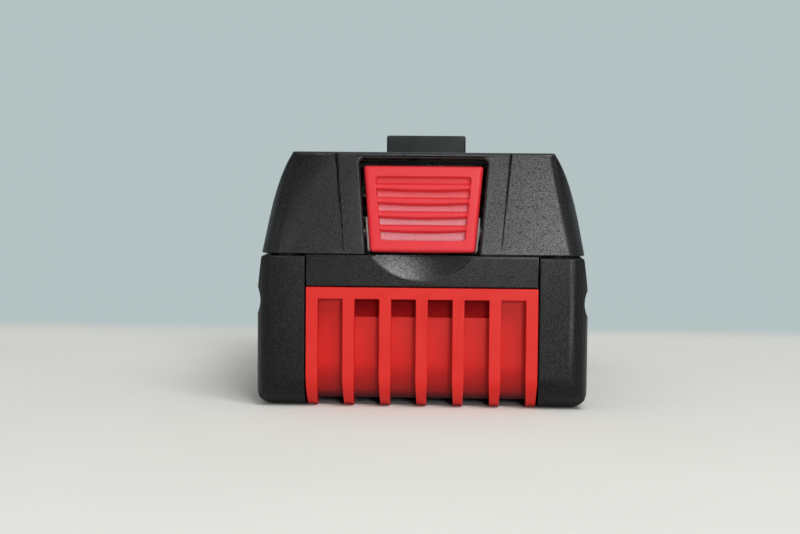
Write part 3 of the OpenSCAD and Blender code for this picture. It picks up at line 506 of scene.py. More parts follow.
def hold(mesh, name):
    """A linked object for a mesh, for modifiers to work on."""
    holder = bpy.data.objects.new(name, mesh)
    bpy.context.scene.collection.objects.link(holder)
    return holder


def plain_mesh(holder):
    """The evaluated mesh of an object, which is then removed with its modifiers."""
    depsgraph = bpy.context.evaluated_depsgraph_get()
    mesh = bpy.data.meshes.new_from_object(
        holder.evaluated_get(depsgraph), preserve_all_data_layers=True, depsgraph=depsgraph
    )
    bpy.data.objects.remove(holder)
    return mesh


def made_mesh(bm, name, smooth=False):
    """A mesh of an editable one, which is then freed."""
    for face in bm.faces:
        face.smooth = smooth
    mesh = bpy.data.meshes.new(name)
    bm.to_mesh(mesh)
    bm.free()
    return mesh


def rounded_mesh(bm, name, radius_at, segments=3):
    """Rounds the outward edges of a mesh. radius_at gives the radius at an edge's middle, 0 for crisp."""
    weights = bm.edges.layers.float.new("bevel_weight_edge")
    bm.normal_update()
    radii = {}
    for edge in bm.edges:
        if len(edge.link_faces) != 2 or edge.calc_face_angle() < SHARP_ANGLE:
            continue
        radius = radius_at((edge.verts[0].co + edge.verts[1].co) / 2) if edge.is_convex else 0
        edge.smooth = radius > 0
        radii[edge] = radius
    widest = max(radii.values(), default=0)
    for edge, radius in radii.items():
        edge[weights] = radius / widest if widest else 0
    holder = hold(made_mesh(bm, name, True), name)
    bevel = holder.modifiers.new("Edges", "BEVEL")
    bevel.limit_method = "WEIGHT"
    bevel.width = widest
    bevel.segments = segments
    bevel.use_clamp_overlap = False
    shading = holder.modifiers.new("Shading", "WEIGHTED_NORMAL")
    shading.keep_sharp = True
    mesh = plain_mesh(holder)
    mark_wear(mesh)
    return mesh


def mark_wear(mesh, full_bend=0.4 * MM):
    """Stores how tightly each vertex bends outwards, 1 at an edge of the full bend's radius or less."""
    least_run = 1e-12
    bend = [0.0] * len(mesh.vertices)
    for edge in mesh.edges:
        first, last = (mesh.vertices[i] for i in edge.vertices)
        run = last.co - first.co
        curve = (last.normal - first.normal).dot(run) / max(run.length_squared, least_run)
        for i in edge.vertices:
            bend[i] = max(bend[i], curve)
    wear = mesh.attributes.new("wear", "FLOAT", "POINT")
    wear.data.foreach_set("value", [min(1.0, b * full_bend) for b in bend])


def mark_faces(mesh, name, test):
    """Stores 1 on the faces of a mesh that pass a test, and 0 on the others."""
    marks = mesh.attributes.new(name, "FLOAT", "FACE")
    marks.data.foreach_set("value", [1.0 if test(face) else 0.0 for face in mesh.polygons])


def join_flat(bm):
    """Joins the flat faces of a mesh."""
    bmesh.ops.dissolve_limit(bm, angle_limit=FLAT_ANGLE, verts=bm.verts, edges=bm.edges)


def node_mesh(node):
    """A clean editable copy of a CAD node: doubles merged, flat faces joined."""
    bm = bmesh.new()
    bm.from_mesh(NODES[node].data)
    bmesh.ops.remove_doubles(bm, verts=bm.verts, dist=0.001 * MM)
    join_flat(bm)
    return bm


def place_piece(mesh, name, body, slot, material, *nodes):
    """Makes a piece of a finished mesh: it rides on a body and stands for CAD nodes."""
    mesh.materials.clear()
    mesh.materials.append(material)
    piece = hold(mesh, name)
    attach(piece, body)
    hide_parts(*nodes)
    return piece


def dress_node(node, name, body, slot, material, radius_at, segments=3):
    """Makes a piece of a CAD node with its outward edges rounded."""
    mesh = rounded_mesh(node_mesh(node), name, radius_at, segments)
    place_piece(mesh, name, body, slot, material, node)


def small_radius(point):
    """Radius of every edge of a small piece."""
    return shape().small_edge


def finish_nodes(material, *nodes):
    """Gives CAD nodes whose shape is right their finish."""
    for node in nodes:
        for slot in NODES[node].material_slots:
            slot.link = "OBJECT"
            slot.material = material


def new_tree(name, **inputs):
    """A geometry node tree with named inputs. Gives the tree, the inputs' sockets and identifiers."""
    tree = bpy.data.node_groups.new(name, "GeometryNodeTree")
    tree.interface.new_socket("Geometry", in_out="INPUT", socket_type="NodeSocketGeometry")
    tree.interface.new_socket("Geometry", in_out="OUTPUT", socket_type="NodeSocketGeometry")
    names = {}
    for label, kind in inputs.items():
        title = label.replace("_", " ").title()
        socket = tree.interface.new_socket(title, in_out="INPUT", socket_type=f"NodeSocket{kind}")
        names[label] = socket.identifier
    return tree, add(tree, "NodeGroupInput").outputs, names


def row_of(tree, piece, count, first, last):
    """Repeats a piece along a straight line in a geometry node tree."""
    line = {"Count": count, "Start Location": first, "Offset": last}
    points = add(tree, "GeometryNodeMeshLine", line, mode="END_POINTS")
    row = add(tree, "GeometryNodeInstanceOnPoints", {"Points": points, "Instance": piece})
    return add(tree, "GeometryNodeRealizeInstances", {"Geometry": row})


def end_tree(tree, geometry, material):
    """Realizes a tree's instances, gives them their finish and leads them out."""
    real = add(tree, "GeometryNodeRealizeInstances", {"Geometry": geometry})
    painted = add(tree, "GeometryNodeSetMaterial", {"Geometry": real, "Material": material})
    add(tree, "NodeGroupOutput", {"Geometry": painted})


def grown(tree, names, mesh, name, **values):
    """The mesh that a geometry node tree grows from a base mesh, with its inputs set."""
    holder = hold(mesh, name)
    growth = holder.modifiers.new("Growth", "NODES")
    growth.node_group = tree
    for label, value in values.items():
        growth[names[label]] = value
    return plain_mesh(holder)


def add_box(bm, low, high):
    """Adds a closed box to a mesh."""
    made = bmesh.ops.create_cube(bm, size=1.0)
    size = Vector(high) - Vector(low)
    middle = (Vector(high) + Vector(low)) / 2
    for vert in made["verts"]:
        vert.co = Vector(c * s for c, s in zip(vert.co, size)) + middle


def add_rings(bm, rings):
    """Adds a closed skin over rings of equally many points."""
    rows = [[bm.verts.new(point) for point in ring] for ring in rings]
    bm.faces.new(reversed(rows[0]))
    bm.faces.new(rows[-1])
    for row, after in zip(rows, rows[1:]):
        for i in range(len(row)):
            j = (i + 1) % len(row)
            bm.faces.new((row[i], row[j], after[j], after[i]))


# Housing

# Bounds that tell the edges of the top housing apart: half widths, ends along Y and heights
POCKET_HALF = 18 * MM
CREASES_HALF = 25 * MM
NOSE_HALF, NOSE_END, NOSE_ROOF = 30.1 * MM, -41.9 * MM, 2.1 * MM
RAIL_HALF, RAIL_ROOF, RAIL_RISE = 21.9 * MM, 3.9 * MM, 13 * MM
SLOTS_HALF, SLOTS_START = 17 * MM, 30 * MM
SIDE_WALL, END_WALL, GAUGE_FACE = 37 * MM, 60 * MM, 61 * MM
CREASE_START, GAUGE_START = 0.5 * MM, 1 * MM

# The same for the lower housing and its finger scoop
SCOOP_HALF, SCOOP_DROP = 14.5 * MM, 7.6 * MM
POLISH_HALF, POLISH_DROP, POLISH_DEPTH = 17 * MM, 8 * MM, 5 * MM
SEAM_REACH, FLOOR_RISE = 0.4 * MM, 3 * MM


def face_at(z):
    """Place of the leaning front face at a height."""
    return FACE_Y + (z - SEAM_Z) * math.tan(FACE_LEAN)


def crease_at(z):
    """Distance of the face creases from the middle at a height."""
    share = (z - SEAM_Z) / (TOP_HIGH.z - SEAM_Z)
    return shape().crease_low + share * (shape().crease_top - shape().crease_low)


def sweep_cheeks(bm):
    """Turns the front face back outside its two creases, as far as the corners behind it."""
    corner = 6 * MM
    for vert in bm.verts:
        out = abs(vert.co.x) - crease_at(vert.co.z)
        behind = vert.co.y - face_at(vert.co.z)
        if out > 0 and behind < corner:
            vert.co.y += out * math.tan(shape().cheek_sweep)


def top_radius(point):
    """Radius of the top housing's edge at a point: 0 along the creases and inside."""
    sizes = shape()
    out, up, down = abs(point.x), point.z - SEAM_Z, TOP_HIGH.z - point.z
    on_face = abs(point.y - face_at(point.z)) < NEAR
    in_nose = out < NOSE_HALF and point.y < NOSE_END and down > NOSE_ROOF
    under_deck = out < RAIL_HALF and down > RAIL_ROOF
    if on_face and out < POCKET_HALF:
        return sizes.pocket_edge
    if on_face and out < CREASES_HALF and up > CREASE_START:
        return 0
    if up > RAIL_RISE and not in_nose and not under_deck:
        in_slots = out < SLOTS_HALF and point.y > SLOTS_START
        return sizes.slot_edge if in_slots else sizes.housing_edge
    if point.y > GAUGE_FACE and up > GAUGE_START:
        return sizes.slot_edge
    return sizes.housing_edge if out > SIDE_WALL or abs(point.y) > END_WALL else 0


def tub_radius(point):
    """Radius of the lower housing's edge at a point."""
    sizes = shape()
    on_band = abs(point.y) > TUB_HIGH.y - NEAR
    in_scoop = abs(point.x) < SCOOP_HALF and SEAM_Z - SCOOP_DROP < point.z < TUB_HIGH.z - NEAR
    if on_band and in_scoop:
        return sizes.scoop_edge
    if on_band:
        return sizes.seam_edge if abs(point.z - SEAM_Z) < SEAM_REACH else sizes.housing_edge
    return sizes.small_edge if point.z < FLOOR_RISE else 0


def polished(face):
    """Whether a face of the lower housing is in the hollow of its finger scoop."""
    place = face.center
    near_scoop = abs(place.x) < POLISH_HALF and SEAM_Z - POLISH_DROP < place.z < SEAM_Z
    hollow = 0.2 < face.normal.z < 0.6
    return near_scoop and hollow and abs(place.y) > TUB_HIGH.y - POLISH_DEPTH


class PACK_OT_housing(bpy.types.Operator):
    """Rounds the top and the lower housing and sweeps the cheeks of the front face"""

    bl_idname = "pack.housing"
    bl_label = "Housing"

    def execute(self, context):
        bm = node_mesh("top_housing")
        sweep_cheeks(bm)
        top = rounded_mesh(bm, "top_shell", top_radius)
        nylon = grained_nylon("Grained nylon", 0.37)
        place_piece(top, "top_shell", "housing", "black_nylon", nylon, "top_housing")
        tub = rounded_mesh(node_mesh("lower_housing"), "lower_shell", tub_radius)
        mark_faces(tub, "polish", polished)
        place_piece(tub, "lower_shell", "housing", "black_nylon", tub_nylon(), "lower_housing")
        finish_nodes(seal_rubber(), "housing_gasket")
        return {"FINISHED"}


class PACK_OT_side_covers(bpy.types.Operator):
    """Rounds the bumpers that wrap the long sides"""

    bl_idname = "pack.side_covers"
    bl_label = "Side covers"

    def execute(self, context):
        material = grained_bumper()
        for side in ("left", "right"):
            node, name = f"{side}_side_cover", f"{side}_bumper"
            dress_node(node, name, "housing", "bumper_black", material, self.radius)
        return {"FINISHED"}

    @staticmethod
    def radius(point):
        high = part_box("right_side_cover")[1]
        on_rim = abs(point.y) > high.y - NEAR or point.z > high.z - NEAR
        return shape().cover_edge if on_rim else 0


# End inserts

# Sizes that the insert shares with the CAD part: half widths, depths along Y and heights
INSERT_HALF = 29 * MM
RIB_DEPTH = 4.6 * MM
RIB_SWEEP = 8 * MM
PANEL_Y = INSERT_LOW.y + RIB_DEPTH
PANEL_THICKNESS = 1.5 * MM
PANEL_FOOT_Z, PANEL_BEND_Z, PANEL_LEAN = 3.9 * MM, 10 * MM, 0.9 * MM
PANEL_BEND_RADIUS = 14 * MM
SLOT_DEPTH, SLOT_HEIGHT = 1 * MM, 4.7 * MM
TONGUE_LOW, TONGUE_HIGH = 5 * MM, 25 * MM
PLUG_HALF, PLUG_LOW, PLUG_HIGH, PLUG_DEPTH = 24.9 * MM, 8.4 * MM, 24.2 * MM, 1.4 * MM
FOOT_Z, FIT, OVERLAP = 2 * MM, 0.1 * MM, 0.5 * MM


def ribs_tree(material):
    """A tree that thickens a rib profile, narrows its foot, repeats it and joins it to a slotted panel."""
    tree, given, names = new_tree(
        "Insert ribs",
        rib_count="Int", rib_width="Float", rib_first="Vector", rib_last="Vector",
        foot_share="Float", taper_height="Float",
        slot_count="Int", slot_first="Vector", slot_last="Vector", slot_size="Vector",
    )
    width = given["Rib Width"]
    is_rib = add(tree, "GeometryNodeInputNamedAttribute", {"Name": "rib"}, data_type="BOOLEAN")
    base = {"Geometry": given["Geometry"], "Selection": is_rib}
    parts = add(tree, "GeometryNodeSeparateGeometry", base, domain="FACE").outputs
    profile = parts["Selection"]
    aside = add(tree, "ShaderNodeCombineXYZ", {"X": width})
    across = {"Mesh": profile, "Offset": aside, "Offset Scale": 1.0, "Individual": False}
    shade_at_foot = add(tree, "GeometryNodeExtrudeMesh", across)
    back = add(tree, "GeometryNodeFlipFaces", {"Mesh": profile})
    both = add(tree, "GeometryNodeJoinGeometry", {"Geometry": [shade_at_foot, back]})
    closed = add(tree, "GeometryNodeMergeByDistance", {"Geometry": both, "Distance": 0.001 * MM})
    position = add(tree, "GeometryNodeInputPosition")
    place = add(tree, "ShaderNodeSeparateXYZ", {"Vector": position}).outputs
    half = add(tree, "ShaderNodeMath", {0: width, 1: 0.5}, operation="MULTIPLY")
    centred = add(tree, "ShaderNodeMath", {0: place["X"], 1: half}, operation="SUBTRACT")
    taper = {"Value": place["Z"], "From Max": given["Taper Height"], "To Min": given["Foot Share"]}
    share = add(tree, "ShaderNodeMapRange", taper, interpolation_type="SMOOTHSTEP")
    narrowed = add(tree, "ShaderNodeMath", {0: centred, 1: share}, operation="MULTIPLY")
    moved = add(tree, "ShaderNodeCombineXYZ", {"X": narrowed, "Y": place["Y"], "Z": place["Z"]})
    rib = add(tree, "GeometryNodeSetPosition", {"Geometry": closed, "Position": moved})
    ribs = row_of(tree, rib, given["Rib Count"], given["Rib First"], given["Rib Last"])
    block = add(tree, "GeometryNodeMeshCube", {"Size": given["Slot Size"]})
    slots = row_of(tree, block, given["Slot Count"], given["Slot First"], given["Slot Last"])
    cut = {"Mesh 1": parts["Inverted"], "Mesh 2": slots, "Self Intersection": True}
    panel = add(tree, "GeometryNodeMeshBoolean", cut, operation="DIFFERENCE", solver="EXACT")
    union = {"Mesh 2": [panel, ribs], "Self Intersection": True}
    whole = add(tree, "GeometryNodeMeshBoolean", union, operation="UNION", solver="EXACT")
    end_tree(tree, whole, material)
    return tree, names


def insert_base():
    """The front insert's panel, rail, tongues and plug as closed solids, and one flat rib profile."""
    front, top, rail = INSERT_LOW.y, INSERT_HIGH.z, rail_z()
    wall = PANEL_Y + PANEL_THICKNESS
    slope = math.atan(PANEL_LEAN / (PANEL_BEND_Z - PANEL_FOOT_Z))
    bend_top = PANEL_BEND_Z + PANEL_BEND_RADIUS * math.tan(slope / 2)
    bend_steps, sweep_steps = 5, 14
    bend = []
    for i in range(bend_steps + 1):
        turn = slope * i / bend_steps
        back, down = PANEL_BEND_RADIUS * (1 - math.cos(turn)), PANEL_BEND_RADIUS * math.sin(turn)
        bend.append((PANEL_Y + back, bend_top - down))
    outline = [(wall, FOOT_Z + FIT), (wall, top), (front, top), (front, rail), (PANEL_Y, rail)]
    outline += bend + [(PANEL_Y + PANEL_LEAN, PANEL_FOOT_Z)]
    bm = bmesh.new()
    is_rib = bm.faces.layers.bool.new("rib")
    add_rings(bm, [[(x, y, z) for y, z in outline] for x in (-INSERT_HALF, INSERT_HALF)])
    for side, edge in ((-1, INSERT_LOW.x), (1, INSERT_HIGH.x)):
        x0, x1 = sorted((side * (INSERT_HALF - OVERLAP), edge))
        add_box(bm, (x0, PANEL_Y + FIT / 2, TONGUE_LOW), (x1, wall - FIT / 2, TONGUE_HIGH))
    add_box(bm, (-PLUG_HALF, wall - OVERLAP, PLUG_LOW), (PLUG_HALF, wall + PLUG_DEPTH, PLUG_HIGH))
    arc = []
    for i in range(sweep_steps + 1):
        turn = math.pi / 2 * i / sweep_steps
        arc.append((front + RIB_SWEEP * (1 - math.cos(turn)), RIB_SWEEP * (1 - math.sin(turn))))
    foot, lip, inner = INSERT_HIGH.y, FOOT_Z - FIT, wall - OVERLAP
    profile = [(inner, top), (front, top)] + arc + [(foot, 0), (foot, lip), (inner, lip)]
    face = bm.faces.new([bm.verts.new((0, y, z)) for y, z in profile])
    face[is_rib] = True
    return made_mesh(bm, "insert_base")


class PACK_OT_end_inserts(bpy.types.Operator):
    """Grows the ribs of the red end inserts from one profile and joins them to their panels"""

    bl_idname = "pack.end_inserts"
    bl_label = "End inserts"

    def execute(self, context):
        sizes = shape()
        material = satin_red_abs()
        tree, names = ribs_tree(material)
        reach = INSERT_HALF - sizes.rib_width / 2
        pitch = 2 * reach / (sizes.rib_count - 1)
        slots = sizes.rib_count - 3
        slot_reach = (slots - 1) / 2 * pitch
        middle = Vector((0, PANEL_Y, rail_z() - SLOT_HEIGHT / 2))
        mesh = grown(
            tree, names, insert_base(), "front_grille",
            rib_count=sizes.rib_count,
            rib_width=sizes.rib_width,
            rib_first=Vector((-reach, 0, 0)),
            rib_last=Vector((reach, 0, 0)),
            foot_share=sizes.rib_foot,
            taper_height=sizes.rib_taper,
            slot_count=slots,
            slot_first=middle - Vector((slot_reach, 0, 0)),
            slot_last=middle + Vector((slot_reach, 0, 0)),
            slot_size=Vector((pitch - sizes.rib_width / 2, 2 * SLOT_DEPTH, SLOT_HEIGHT)),
        )
        gaps = [(i - (sizes.rib_count - 2) / 2) * pitch for i in range(sizes.rib_count - 1)]
        front = rounded_mesh(self.cleaned(mesh, gaps), "front_grille", self.radius)
        mark_faces(front, "recess", self.in_slot)
        mark_faces(front, "panel", self.on_panel)
        rear = front.copy()
        rear.transform(Matrix.Rotation(math.pi, 4, "Z"))
        place_piece(front, "front_grille", "housing", "insert_red", material, "front_insert")
        place_piece(rear, "rear_grille", "housing", "insert_red", material, "rear_insert")
        return {"FINISHED"}

    def cleaned(self, mesh, gaps):
        """Clears the joined solids' seams and splits large faces between the ribs and at the rail."""
        seam = 0.01 * MM
        bm = bmesh.new()
        bm.from_mesh(mesh)
        bmesh.ops.remove_doubles(bm, verts=bm.verts, dist=seam)
        bmesh.ops.dissolve_degenerate(bm, edges=bm.edges, dist=seam)
        join_flat(bm)
        cuts = [((x, 0, 0), (1, 0, 0)) for x in gaps] + [((0, 0, rail_z()), (0, 0, 1))]
        for point, normal in cuts:
            geometry = bm.verts[:] + bm.edges[:] + bm.faces[:]
            bmesh.ops.bisect_plane(bm, geom=geometry, dist=0.0001 * MM, plane_co=point, plane_no=normal)
        return bm

    @staticmethod
    def in_slot(face):
        level = abs(face.center.y - PANEL_Y - SLOT_DEPTH) < NEAR / 2
        return level and face.normal.y < -0.9 and face.center.z > rail_z() - SLOT_HEIGHT

    @staticmethod
    def on_panel(face):
        return -NEAR / 2 < face.center.y - PANEL_Y < PANEL_THICKNESS and face.normal.y < -0.8

    @staticmethod
    def radius(point):
        return shape().insert_edge if point.y < PANEL_Y + NEAR else 0


# Release button

# Place of the button on the leaning face, and the radii and the wall of its front
BUTTON_LOW = 0.9 * MM
BUTTON_THICKNESS = 3 * MM
BUTTON_PROUD = 0.3 * MM
BUTTON_TILT = math.radians(3)
BUTTON_CORNER, GRIP_CORNER, GRIP_WALL = 0.8 * MM, 1.0 * MM, 0.45 * MM


def grip_profile():
    """The grip from its top down, in millimetres: distance, depth, shares of the sag and the grain."""
    sizes = shape()
    pitch = sizes.ridge_pitch / MM
    deep = sizes.grip_depth / MM
    reach = (sizes.button_height - sizes.frame_top - sizes.frame_low) / MM
    shift, top_depth, band_end, crest, ridge_height = 0.85, 0.9, 0.8, 0.22, 1.5
    grain_end, cut_end, cut_depth, grain_start = 0.16, 0.07, 0.1, 0.1
    shoulder, brow = 0.3, 0.7
    steps, finest = 20, 0.3
    first = reach - sizes.ridge_count * pitch + shift
    rows = [(0.0, top_depth, 0.0, 1.0)]
    for k in range(sizes.ridge_count):
        low = first + k * pitch
        top = low - ridge_height
        rows.append((top - grain_end, band_end, 0.0, 1.0))
        rows.append((top - cut_end, band_end + cut_depth, 0.0, 0.0))
        for i in range(steps + 1):
            along = i / steps
            rise = max(0.0, 1 - along / shoulder)
            drop = max(0.0, (along - brow) / (1 - brow))
            depth = crest + (band_end - crest) * rise**2 + (deep - crest) * drop**1.5
            rows.append((top + ridge_height * along, depth, along, 0.0))
        rows.append((low + grain_start, deep, 1.0, 1.0))
    rows.append((reach, band_end, 0.0, 1.0))
    fine = [rows[0]]
    for row in rows[1:]:
        before = fine[-1]
        pieces = max(1, math.ceil((row[0] - before[0]) / finest))
        for i in range(1, pieces + 1):
            fine.append(tuple(b + (r - b) * i / pieces for b, r in zip(before, row)))
    return fine


def inside(u, half, v, radius):
    """Distance into a rectangle with round corners, from half widths and the distance to the nearer end."""
    across, along = u - (half - radius), radius - v
    if across > 0 and along > 0:
        return radius - math.hypot(across, along)
    return min(half - u, v)


def button_rows(rim, lip):
    """Rows of the button's front from its bottom up: height, depth, share of the sag and of the grain."""
    sizes = shape()
    low, frame_low, frame_top = BUTTON_LOW, sizes.frame_low, sizes.frame_top
    top = low + sizes.button_height
    least_step = 0.004 * MM
    grip = [(top - frame_top - t * MM, depth * MM, sag, grain) for t, depth, sag, grain in grip_profile()]
    low_depth, top_depth = grip[-1][1], grip[0][1]
    rows = [(low + d, low_depth, 0.0, 0.0) for d in rim + [frame_low * 0.6, frame_low * 0.97]]
    rows += reversed(grip)
    for d in lip:
        rows.append((low + frame_low + d, low_depth, 0.0, 1.0))
        rows.append((top - frame_top - d, top_depth, 0.0, 1.0))
    rows += [(top - d, top_depth, 0.0, 0.0) for d in rim + [frame_top * 0.6]]
    rows.sort(key=lambda row: row[0])
    return [row for i, row in enumerate(rows) if i == 0 or row[0] - rows[i - 1][0] > least_step]


def button_mesh():
    """The button's dished and ridged front as a grid, closed by its sides and back, in its own plane."""
    sizes = shape()
    low, height, frame_width = BUTTON_LOW, sizes.button_height, sizes.button_frame
    top, middle_v = low + height, low + height / 2
    corner, edge, wall = BUTTON_CORNER, sizes.button_edge, GRIP_WALL
    # Grid lines crowd where the front bends: at its rim and at the lip of the grip
    rim = [edge * share for share in (0.0, 0.1, 0.25, 0.5, 0.75, 1.0)]
    lip = [wall * share for share in (-0.15, 0.0, 0.15, 0.3, 0.5, 0.7, 0.85, 1.0)]
    near = rim + [frame_width * 0.6] + [frame_width + d for d in lip]
    fractions = [i / 12 for i in range(-11, 12)]
    bm = bmesh.new()
    grain_layer = bm.verts.layers.float.new("grip")
    grid = []
    for v, deep, sag, grain in button_rows(rim, lip):
        share = (v - low) / height
        half = sizes.button_width_low + (sizes.button_width_top - sizes.button_width_low) * share
        end = min(v - low, top - v)
        grip_end = min(v - low - sizes.frame_low, top - sizes.frame_top - v)
        dish = sizes.button_dish * (1 - ((v - middle_v) / (height / 2)) ** 2)
        cut = corner - math.sqrt(corner**2 - (corner - end) ** 2) if end < corner else 0.0
        width = half - cut
        middle = [f * (width - near[-1]) for f in fractions]
        line = []
        for u in [d - width for d in near] + middle + [width - d for d in reversed(near)]:
            rounding = max(0.0, edge - inside(abs(u), half, end, corner))
            depth = edge - math.sqrt(max(0.0, edge**2 - rounding**2))
            in_grip = inside(abs(u), half - frame_width, grip_end, GRIP_CORNER)
            fall = max(0.0, min(1.0, in_grip / wall))
            fall = fall * fall * (3 - 2 * fall)
            bow = max(0.0, 1 - (u / (half - frame_width)) ** 2)
            vert = bm.verts.new((u, depth + dish + deep * fall, v - sag * sizes.ridge_sag * bow))
            vert[grain_layer] = grain if in_grip > wall * 0.5 else 0.0
            line.append(vert)
        grid.append(line)
    for line, above in zip(grid, grid[1:]):
        for i in range(len(line) - 1):
            bm.faces.new((line[i], line[i + 1], above[i + 1], above[i]))
    right, left = [line[-1] for line in grid[1:]], [line[0] for line in grid[-2:0:-1]]
    loop = grid[0] + right + grid[-1][-2::-1] + left
    back = [bm.verts.new((vert.co.x, BUTTON_THICKNESS, vert.co.z)) for vert in loop]
    for i in range(len(loop)):
        j = (i + 1) % len(loop)
        bm.faces.new((loop[j], loop[i], back[i], back[j]))
    bm.faces.new(back)
    bmesh.ops.recalc_face_normals(bm, faces=bm.faces)
    return made_mesh(bm, "release_grip", True)


class PACK_OT_release_button(bpy.types.Operator):
    """Models the framed release button with its sagging grip ridges"""

    bl_idname = "pack.release_button"
    bl_label = "Release button"

    def execute(self, context):
        on_face = Matrix.Translation((0, FACE_Y, SEAM_Z)) @ Matrix.Rotation(-FACE_LEAN, 4, "X")
        proud = Matrix.Translation((0, -BUTTON_PROUD, 0))
        mesh = button_mesh()
        mesh.transform(on_face @ proud @ Matrix.Rotation(-BUTTON_TILT, 4, "X"))
        place_piece(mesh, "release_grip", "latch", "button_red", grip_red_abs(), "release_button")
        return {"FINISHED"}


# Latch


def spring_tree(material):
    """A tree that winds a round wire into a spring along Y."""
    tree, given, names = new_tree(
        "Coil spring",
        coils="Float", coil_radius="Float", coil_length="Float", wire_radius="Float", seat="Vector",
    )
    radius = given["Coil Radius"]
    turns = {"Resolution": 32, "Rotations": given["Coils"], "Height": given["Coil Length"]}
    helix = add(tree, "GeometryNodeCurveSpiral", {**turns, "Start Radius": radius, "End Radius": radius})
    along_y = {"Geometry": helix, "Rotation": (-math.pi / 2, 0, 0), "Translation": given["Seat"]}
    laid = add(tree, "GeometryNodeTransform", along_y)
    ring = {"Resolution": 12, "Radius": given["Wire Radius"]}
    section = add(tree, "GeometryNodeCurvePrimitiveCircle", ring)
    wire = {"Curve": laid, "Profile Curve": section, "Fill Caps": True}
    end_tree(tree, add(tree, "GeometryNodeCurveToMesh", wire), material)
    return tree, names


class PACK_OT_latch(bpy.types.Operator):
    """Rounds the lever and the lug and winds the spring that pushes them out"""

    bl_idname = "pack.latch"
    bl_label = "Latch"

    def execute(self, context):
        sizes = shape()
        dress_node("latch_lever", "rocker", "latch", "lever_acetal", natural_acetal(), self.lever_radius)
        dress_node("latch_hook", "catch_lug", "latch", "hook_black", black_acetal(), self.lug_radius)
        steel = spring_steel()
        finish_nodes(steel, "latch_pin")
        low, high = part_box("latch_spring")
        tree, names = spring_tree(steel)
        wound = grown(
            tree, names, bpy.data.meshes.new("coil"), "coil",
            coils=float(sizes.coils),
            coil_radius=(high.x - low.x - sizes.wire) / 2,
            coil_length=high.y - low.y - sizes.wire,
            wire_radius=sizes.wire / 2,
            seat=Vector((0, low.y + sizes.wire / 2, (low.z + high.z) / 2)),
        )
        for face in wound.polygons:
            face.use_smooth = True
        spring = place_piece(wound, "coil_spring", "housing", "steel", steel, "latch_spring")
        self.press(spring, low, high)
        return {"FINISHED"}

    def press(self, spring, low, high):
        """Gives the spring a mesh of its own."""
        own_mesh(spring)

    @staticmethod
    def lever_radius(point):
        seen_depth = 6 * MM
        return shape().small_edge if point.y < FACE_Y + seen_depth else 0

    @staticmethod
    def lug_radius(point):
        hidden = 4 * MM
        return shape().lug_edge if point.z > TOP_HIGH.z - hidden else 0


# Fasteners, contacts and gauge

# Screws: node, radius of the head and of the shank, height of the head
SCREWS = (
    ("housing_screws", 1.8 * MM, 1.2 * MM, 1.8 * MM),
    ("board_screws", 2 * MM, 1 * MM, 1.2 * MM),
)
THREAD_PITCH = 0.9 * MM


def screw_mesh(name, rings):
    """A screw turned about Z from rings of (radius, height, hexagonal or not)."""
    count = 36
    bm = bmesh.new()
    circles = []
    for radius, height, hexagonal in rings:
        ring = []
        for i in range(count):
            turn = 2 * math.pi * i / count
            side = (turn + math.pi / 6) % (math.pi / 3) - math.pi / 6
            reach = radius / math.cos(side) if hexagonal else radius
            ring.append((reach * math.cos(turn), reach * math.sin(turn), height))
        circles.append(ring)
    add_rings(bm, circles)
    bmesh.ops.recalc_face_normals(bm, faces=bm.faces)
    for edge in bm.edges:
        edge.smooth = edge.calc_face_angle(0) < SHARP_ANGLE
    return made_mesh(bm, name, True)


def screws_tree(material):
    """A tree that sets one screw at the corners of a rectangle."""
    tree, given, names = new_tree("Screws at corners", width="Float", depth="Float", middle="Vector")
    grid = {"Size X": given["Width"], "Size Y": given["Depth"], "Vertices X": 2, "Vertices Y": 2}
    corners = add(tree, "GeometryNodeMeshGrid", grid)
    moved = add(tree, "GeometryNodeTransform", {"Geometry": corners, "Translation": given["Middle"]})
    spots = {"Points": moved, "Instance": given["Geometry"]}
    end_tree(tree, add(tree, "GeometryNodeInstanceOnPoints", spots), material)
    return tree, names


class PACK_OT_screws(bpy.types.Operator):
    """Turns the housing screws and the board screws and sets them at their corners"""

    bl_idname = "pack.screws"
    bl_label = "Screws"

    def execute(self, context):
        steel = plated_steel()
        tree, names = screws_tree(steel)
        for node, head, shank, head_height in SCREWS:
            low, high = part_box(node)
            rings = self.rings(low.z, high.z, head, shank, head_height)
            mesh = grown(
                tree, names, screw_mesh(node, rings), node,
                width=high.x - low.x - 2 * head,
                depth=high.y - low.y - 2 * head,
                middle=Vector((0, (low.y + high.y) / 2, 0)),
            )
            mark_wear(mesh)
            place_piece(mesh, node.replace("screws", "fasteners"), "housing", "steel", steel, node)
        return {"FINISHED"}

    def rings(self, low, high, head, shank, head_height):
        """A round head below with a hexagon socket in it, and a threaded shank with a blunt tip."""
        socket, socket_end, bevel = head * 0.52, 0.62, head * 0.14
        core, tip = shank * 0.82, shank * 0.5
        seat = low + head_height
        rings = [
            (socket, low + head_height * socket_end, True), (socket, low, True),
            (head - bevel, low, False), (head, low + bevel, False),
            (head, seat, False), (shank, seat, False),
        ]
        start = seat + shank
        for i in range(int((high - seat - 2 * shank) / THREAD_PITCH)):
            rings.append((core, start + (i + 0.25) * THREAD_PITCH, False))
            rings.append((shank, start + (i + 0.75) * THREAD_PITCH, False))
        return rings + [(shank, high - shank, False), (tip, high, False)]


def contacts_tree(material):
    """A tree that repeats one contact across the pack."""
    tree, given, names = new_tree("Contact row", count="Int", first="Vector", last="Vector")
    row = row_of(tree, given["Geometry"], given["Count"], given["First"], given["Last"])
    end_tree(tree, row, material)
    return tree, names


